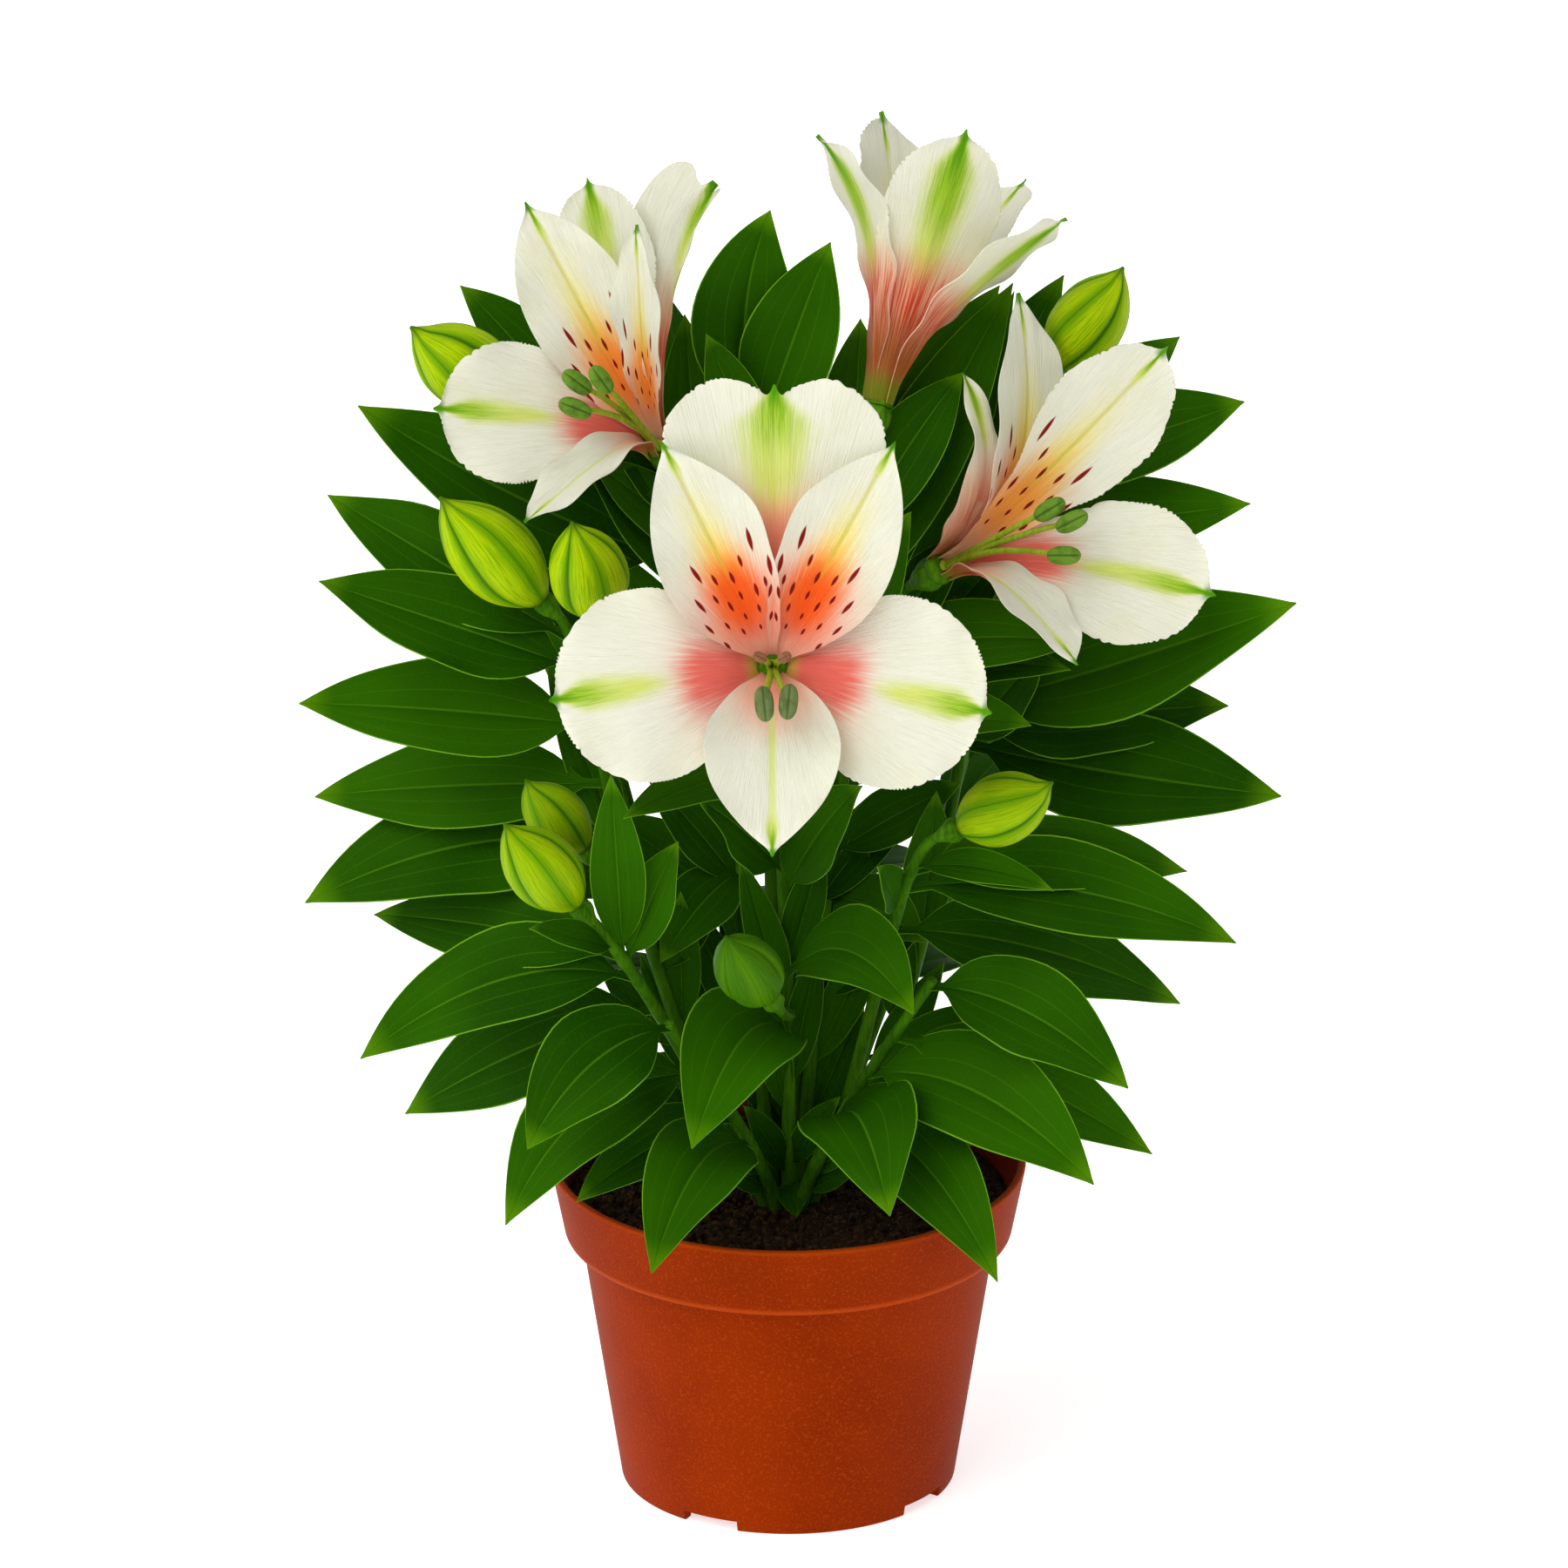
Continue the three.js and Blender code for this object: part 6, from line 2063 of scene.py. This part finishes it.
@dataclass(frozen=True)
class Bloom:
    """One open flower: six tepals on a hub, and a cluster of stamens on a small disc."""

    plan: BloomPlan
    blade: TepalBlade = TepalBlade()
    hub_radius: float = 4
    hub_height: float = 2.6
    hub_shape: tuple = ((0, 0.86), (0.25, 0.97), (1.3, 1), (2.3, 0.9), (2.6, 0.7))
    seat_gap: float = 0.35
    disc_radius: float = 1.6
    disc_height: float = 1.4
    disc_shape: tuple = ((0, 0.85), (0.2, 1), (0.8, 1), (1, 0.75))
    filament_foot: float = 1.0
    filament_end: float = 0.65
    throat_gap: float = 1.2
    anther_half: float = 4.5
    anther_radius: float = 2.4
    spent_scale: float = 0.55

    def build(self, finishes: Finishes, tubes: TubeNodes) -> None:
        """Builds the tepals and the stamens in place of their nodes.

        Args:
            finishes: The plant's materials.
            tubes: Nodes that make the filaments.
        """
        rng = dice(self.plan.name, 17)
        tepals = Skin()
        self._turned(tepals, [(h, r * self.hub_radius) for h, r in self.hub_shape], 48, finishes.ovary, 0.04)
        for one in self.plan.tepals:
            self.blade.grow(tepals, self.plan, one, rng, finishes.tepals[one.kind])
        hand_over(tepals.build(f"{self.plan.name}_tepal_ring"), f"{self.plan.name}_tepals")
        stamens = Skin()
        low = self.hub_height + self.seat_gap
        disc = [(low + h * self.disc_height, r * self.disc_radius) for h, r in self.disc_shape]
        self._turned(stamens, disc, 24, finishes.filament)
        lines = []
        for one in self.plan.stamens:
            lines.append(self._filament(one))
            self._anther(stamens, one, finishes)
        stamens.take(tubes.sweep(lines, 12, finishes.filament), finishes.filament)
        cluster = stamens.build(f"{self.plan.name}_stamen_cluster")
        hand_over(cluster, f"{self.plan.name}_stamens")

    def _turned(self, skin: Skin, shape: list, sides: int, material: Material, ribs: float = 0.0) -> None:
        """Adds a body turned about the flower's axis from rows of height and radius, with six ribs."""
        rows = np.array(shape)
        radii = rows[:, 1:] * (1 + ribs * np.cos(6 * full_turn(sides)))
        centres = self.plan.hub + np.outer(rows[:, 0], self.plan.way)
        skin.tube(rings(centres, radii, *cross_frame(self.plan.way)), material)

    def _filament(self, plan: StamenPlan) -> tuple[Vec, Vec]:
        """Returns the points and radii of one filament."""
        axis = self.plan.way
        hub = self.plan.hub
        aside = unit(plan.anther - axis * np.dot(plan.anther, axis))
        low = self.hub_height + self.seat_gap + self.disc_height / 2
        tube = axis * self.plan.tube
        rib = [
            hub + axis * low + aside * self.disc_radius / 2,
            hub + tube + aside * self.disc_radius,
            hub + plan.anther,
        ]
        if self.plan.has_closed_tube:
            throat = aside * self.throat_gap
            rib[1:2] = [hub + tube * 0.7 + throat, hub + tube * 1.15 + throat]
        t = np.linspace(0, 1, 28)
        return bezier(rib, t), self.filament_foot + (self.filament_end - self.filament_foot) * t

    def _anther(self, skin: Skin, plan: StamenPlan, finishes: Finishes) -> None:
        """Adds one anther of two lobes with a groove between them on either face."""
        eye = seen_offset(0, 0, 1)
        aim = plan.point
        other = unit(eye - aim * np.dot(eye, aim))
        side = np.cross(other, aim)
        share = np.sin(np.linspace(-math.pi / 2, math.pi / 2, 19)[1:-1])
        scale = self.spent_scale if plan.spent else 1
        radii = self.anther_radius * scale * (1 - np.abs(share) ** 2.6) ** 0.5
        angles = full_turn(28)
        groove = np.exp(-((np.cos(angles) / 0.3) ** 2))
        flat = 1 - 0.16 * np.sin(angles) ** 2
        profile = radii[:, None] * (flat * (1 - 0.2 * groove))[None, :]
        centres = self.plan.hub + plan.anther + np.outer(share * self.anther_half * scale, aim)
        ends = (centres[0] - aim * 0.1, centres[-1] + aim * 0.1)
        finish = finishes.spent if plan.spent else finishes.anther
        skin.tube(rings(centres, profile, side, other), finish, self.plan.anther_tone, ends)


@dataclass(frozen=True)
class Bud:
    """One closed bud: three outer tepals wrapped round the rest, with sunken seams and a small hooked tip."""

    plan: BudPlan
    shape: tuple = (
        (0, 0.3), (0.05, 0.47), (0.14, 0.7), (0.26, 0.91), (0.38, 1), (0.52, 0.98), (0.66, 0.86),
        (0.77, 0.66), (0.86, 0.43), (0.93, 0.23), (0.975, 0.1), (1.01, 0.04),
    )
    seam_depth: float = 0.09
    ridge_height: float = 0.035
    spiral: float = 0.5
    hook: float = 1.3
    rows: int = 56
    sides: int = 84

    def build(self, finishes: Finishes) -> None:
        """Builds the bud in place of its node.

        Args:
            finishes: The plant's materials.
        """
        rise = self.plan.tip - self.plan.base
        aim = unit(rise)
        side, other = cross_frame(aim)
        share = np.linspace(0, 1, self.rows)
        at = 1.01 * (0.5 * share + 0.5 * (0.5 - 0.5 * np.cos(math.pi * share)))
        radii = np.maximum(spline(np.array(self.shape), at), 0.03) * self.plan.radius
        angles = full_turn(self.sides)
        from_third = np.abs((angles * 3 / math.tau + 0.5) % 1 - 0.5)
        from_rib = np.abs((angles * 3 / math.tau) % 1 - 0.5)
        body = smooth_step(at, 0.02, 0.2)[:, None] * (1 - smooth_step(at, 0.9, 1.0))[:, None]
        seams = self.seam_depth * np.exp(-((from_third / 0.045) ** 2))[None, :]
        ridges = self.ridge_height * np.exp(-((from_rib / 0.05) ** 2))[None, :]
        swelling = 0.05 * np.sin(math.pi * from_third * 2)[None, :]
        factor = 1 + body * (ridges + swelling - seams - 0.02)
        centres = self.plan.base + np.outer(at, rise)
        lift = vec(0, 0, 1) - aim * aim[2]
        centres = centres + np.outer(self.hook * smooth_step(at, 0.86, 1.01), lift)
        twist = self.spiral * at
        rng = dice(self.plan.name)
        start = rng.uniform(0, math.tau)
        sides = side * np.cos(start) + other * np.sin(start)
        others = np.cross(aim, sides)
        grid = np.concatenate(
            [
                rings(centre[None], radius[None], sides * math.cos(a) + others * math.sin(a),
                      others * math.cos(a) - sides * math.sin(a))
                for centre, radius, a in zip(centres, radii * factor, twist)
            ]
        )
        skin = Skin()
        skin.tube(grid, finishes.bud, self.plan.ripeness)
        hand_over(skin.build(f"{self.plan.name}_closed"), self.plan.name)


# Stage


@dataclass(frozen=True)
class Stage:
    """A plain white floor under soft studio light, and the camera that frames the plant."""

    aim: tuple = (-0.0011, 0.0, 0.1869)
    distance: float = 7.0
    field_width: float = 0.3924
    sensor: float = 36.0
    floor_radius: float = 4.0
    floor_glow: float = 0.62
    sky: float = 0.52
    key: float = 1.6
    key_softness: float = 60.0
    key_from: tuple = (-0.75, -0.62, 1.0)

    def build(self) -> None:
        """Builds the floor, the lights and the camera."""
        self._floor()
        self._lights()
        self._camera()
        bpy.context.scene.view_settings.view_transform = "Standard"

    def _floor(self) -> None:
        """Adds the floor."""
        shader = Shader("studio_floor")
        paper = shader.noise(shader.place(), 9, 2)
        color = shader.mix(paper, (0.93, 0.93, 0.93, 1), (0.97, 0.97, 0.97, 1))
        material = shader.finish(
            color, 0.9, Specular_IOR_Level=0.0, Emission_Color=(1, 1, 1, 1), Emission_Strength=self.floor_glow
        )
        radii = np.array((0.2, 1, 1, 0.2)) * self.floor_radius / MM
        centres = np.array([vec(0, 0, height) for height in (-4, -4, 0, 0)])
        skin = Skin()
        skin.tube(rings(centres, np.repeat(radii[:, None], 96, axis=1), *LEVEL), material)
        floor = skin.build("studio_floor")

    def _lights(self) -> None:
        """Adds the sky and the key light."""
        world = bpy.data.worlds.new("studio")
        world.use_nodes = True
        sky = world.node_tree.nodes["Background"]
        sky.inputs["Color"].default_value = (1, 1, 1, 1)
        sky.inputs["Strength"].default_value = self.sky
        bpy.context.scene.world = world
        lamp = bpy.data.lights.new("key", "SUN")
        lamp.energy = self.key
        lamp.angle = math.radians(self.key_softness)
        key = bpy.data.objects.new("key", lamp)
        key.rotation_euler = Vector(self.key_from).to_track_quat("Z", "Y").to_euler()
        bpy.context.scene.collection.objects.link(key)

    def _camera(self) -> None:
        """Adds the camera."""
        data = bpy.data.cameras.new("camera")
        data.sensor_width = self.sensor
        data.lens = self.sensor * self.distance / self.field_width
        data.clip_start = 0.5
        data.clip_end = 60.0
        camera = bpy.data.objects.new("camera", data)
        back = Vector((0, -math.cos(SIGHT_TILT), math.sin(SIGHT_TILT)))
        camera.location = Vector(self.aim) + back * self.distance
        camera.rotation_euler = back.to_track_quat("Z", "Y").to_euler()
        bpy.context.scene.collection.objects.link(camera)
        bpy.context.scene.camera = camera


def main() -> None:
    """Builds the plant piece by piece, then its stage."""
    logging.basicConfig(level=logging.INFO, format="%(name)s: %(message)s")
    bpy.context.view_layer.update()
    Stage().build()
    finishes = Finishes.build()
    tubes = TubeNodes()
    pot = Pot()
    soil = Soil(pot)
    pot.build(finishes)
    soil.build(finishes)
    for plan in (*STEMS, *BackShoots().plans(soil.top)):
        LeafyStem(plan).build(soil.top, finishes, tubes)
    for plan in BLOOMS:
        Bloom(plan).build(finishes, tubes)
    for plan in BUDS:
        Bud(plan).build(finishes)


if __name__ == "__main__":
    main()
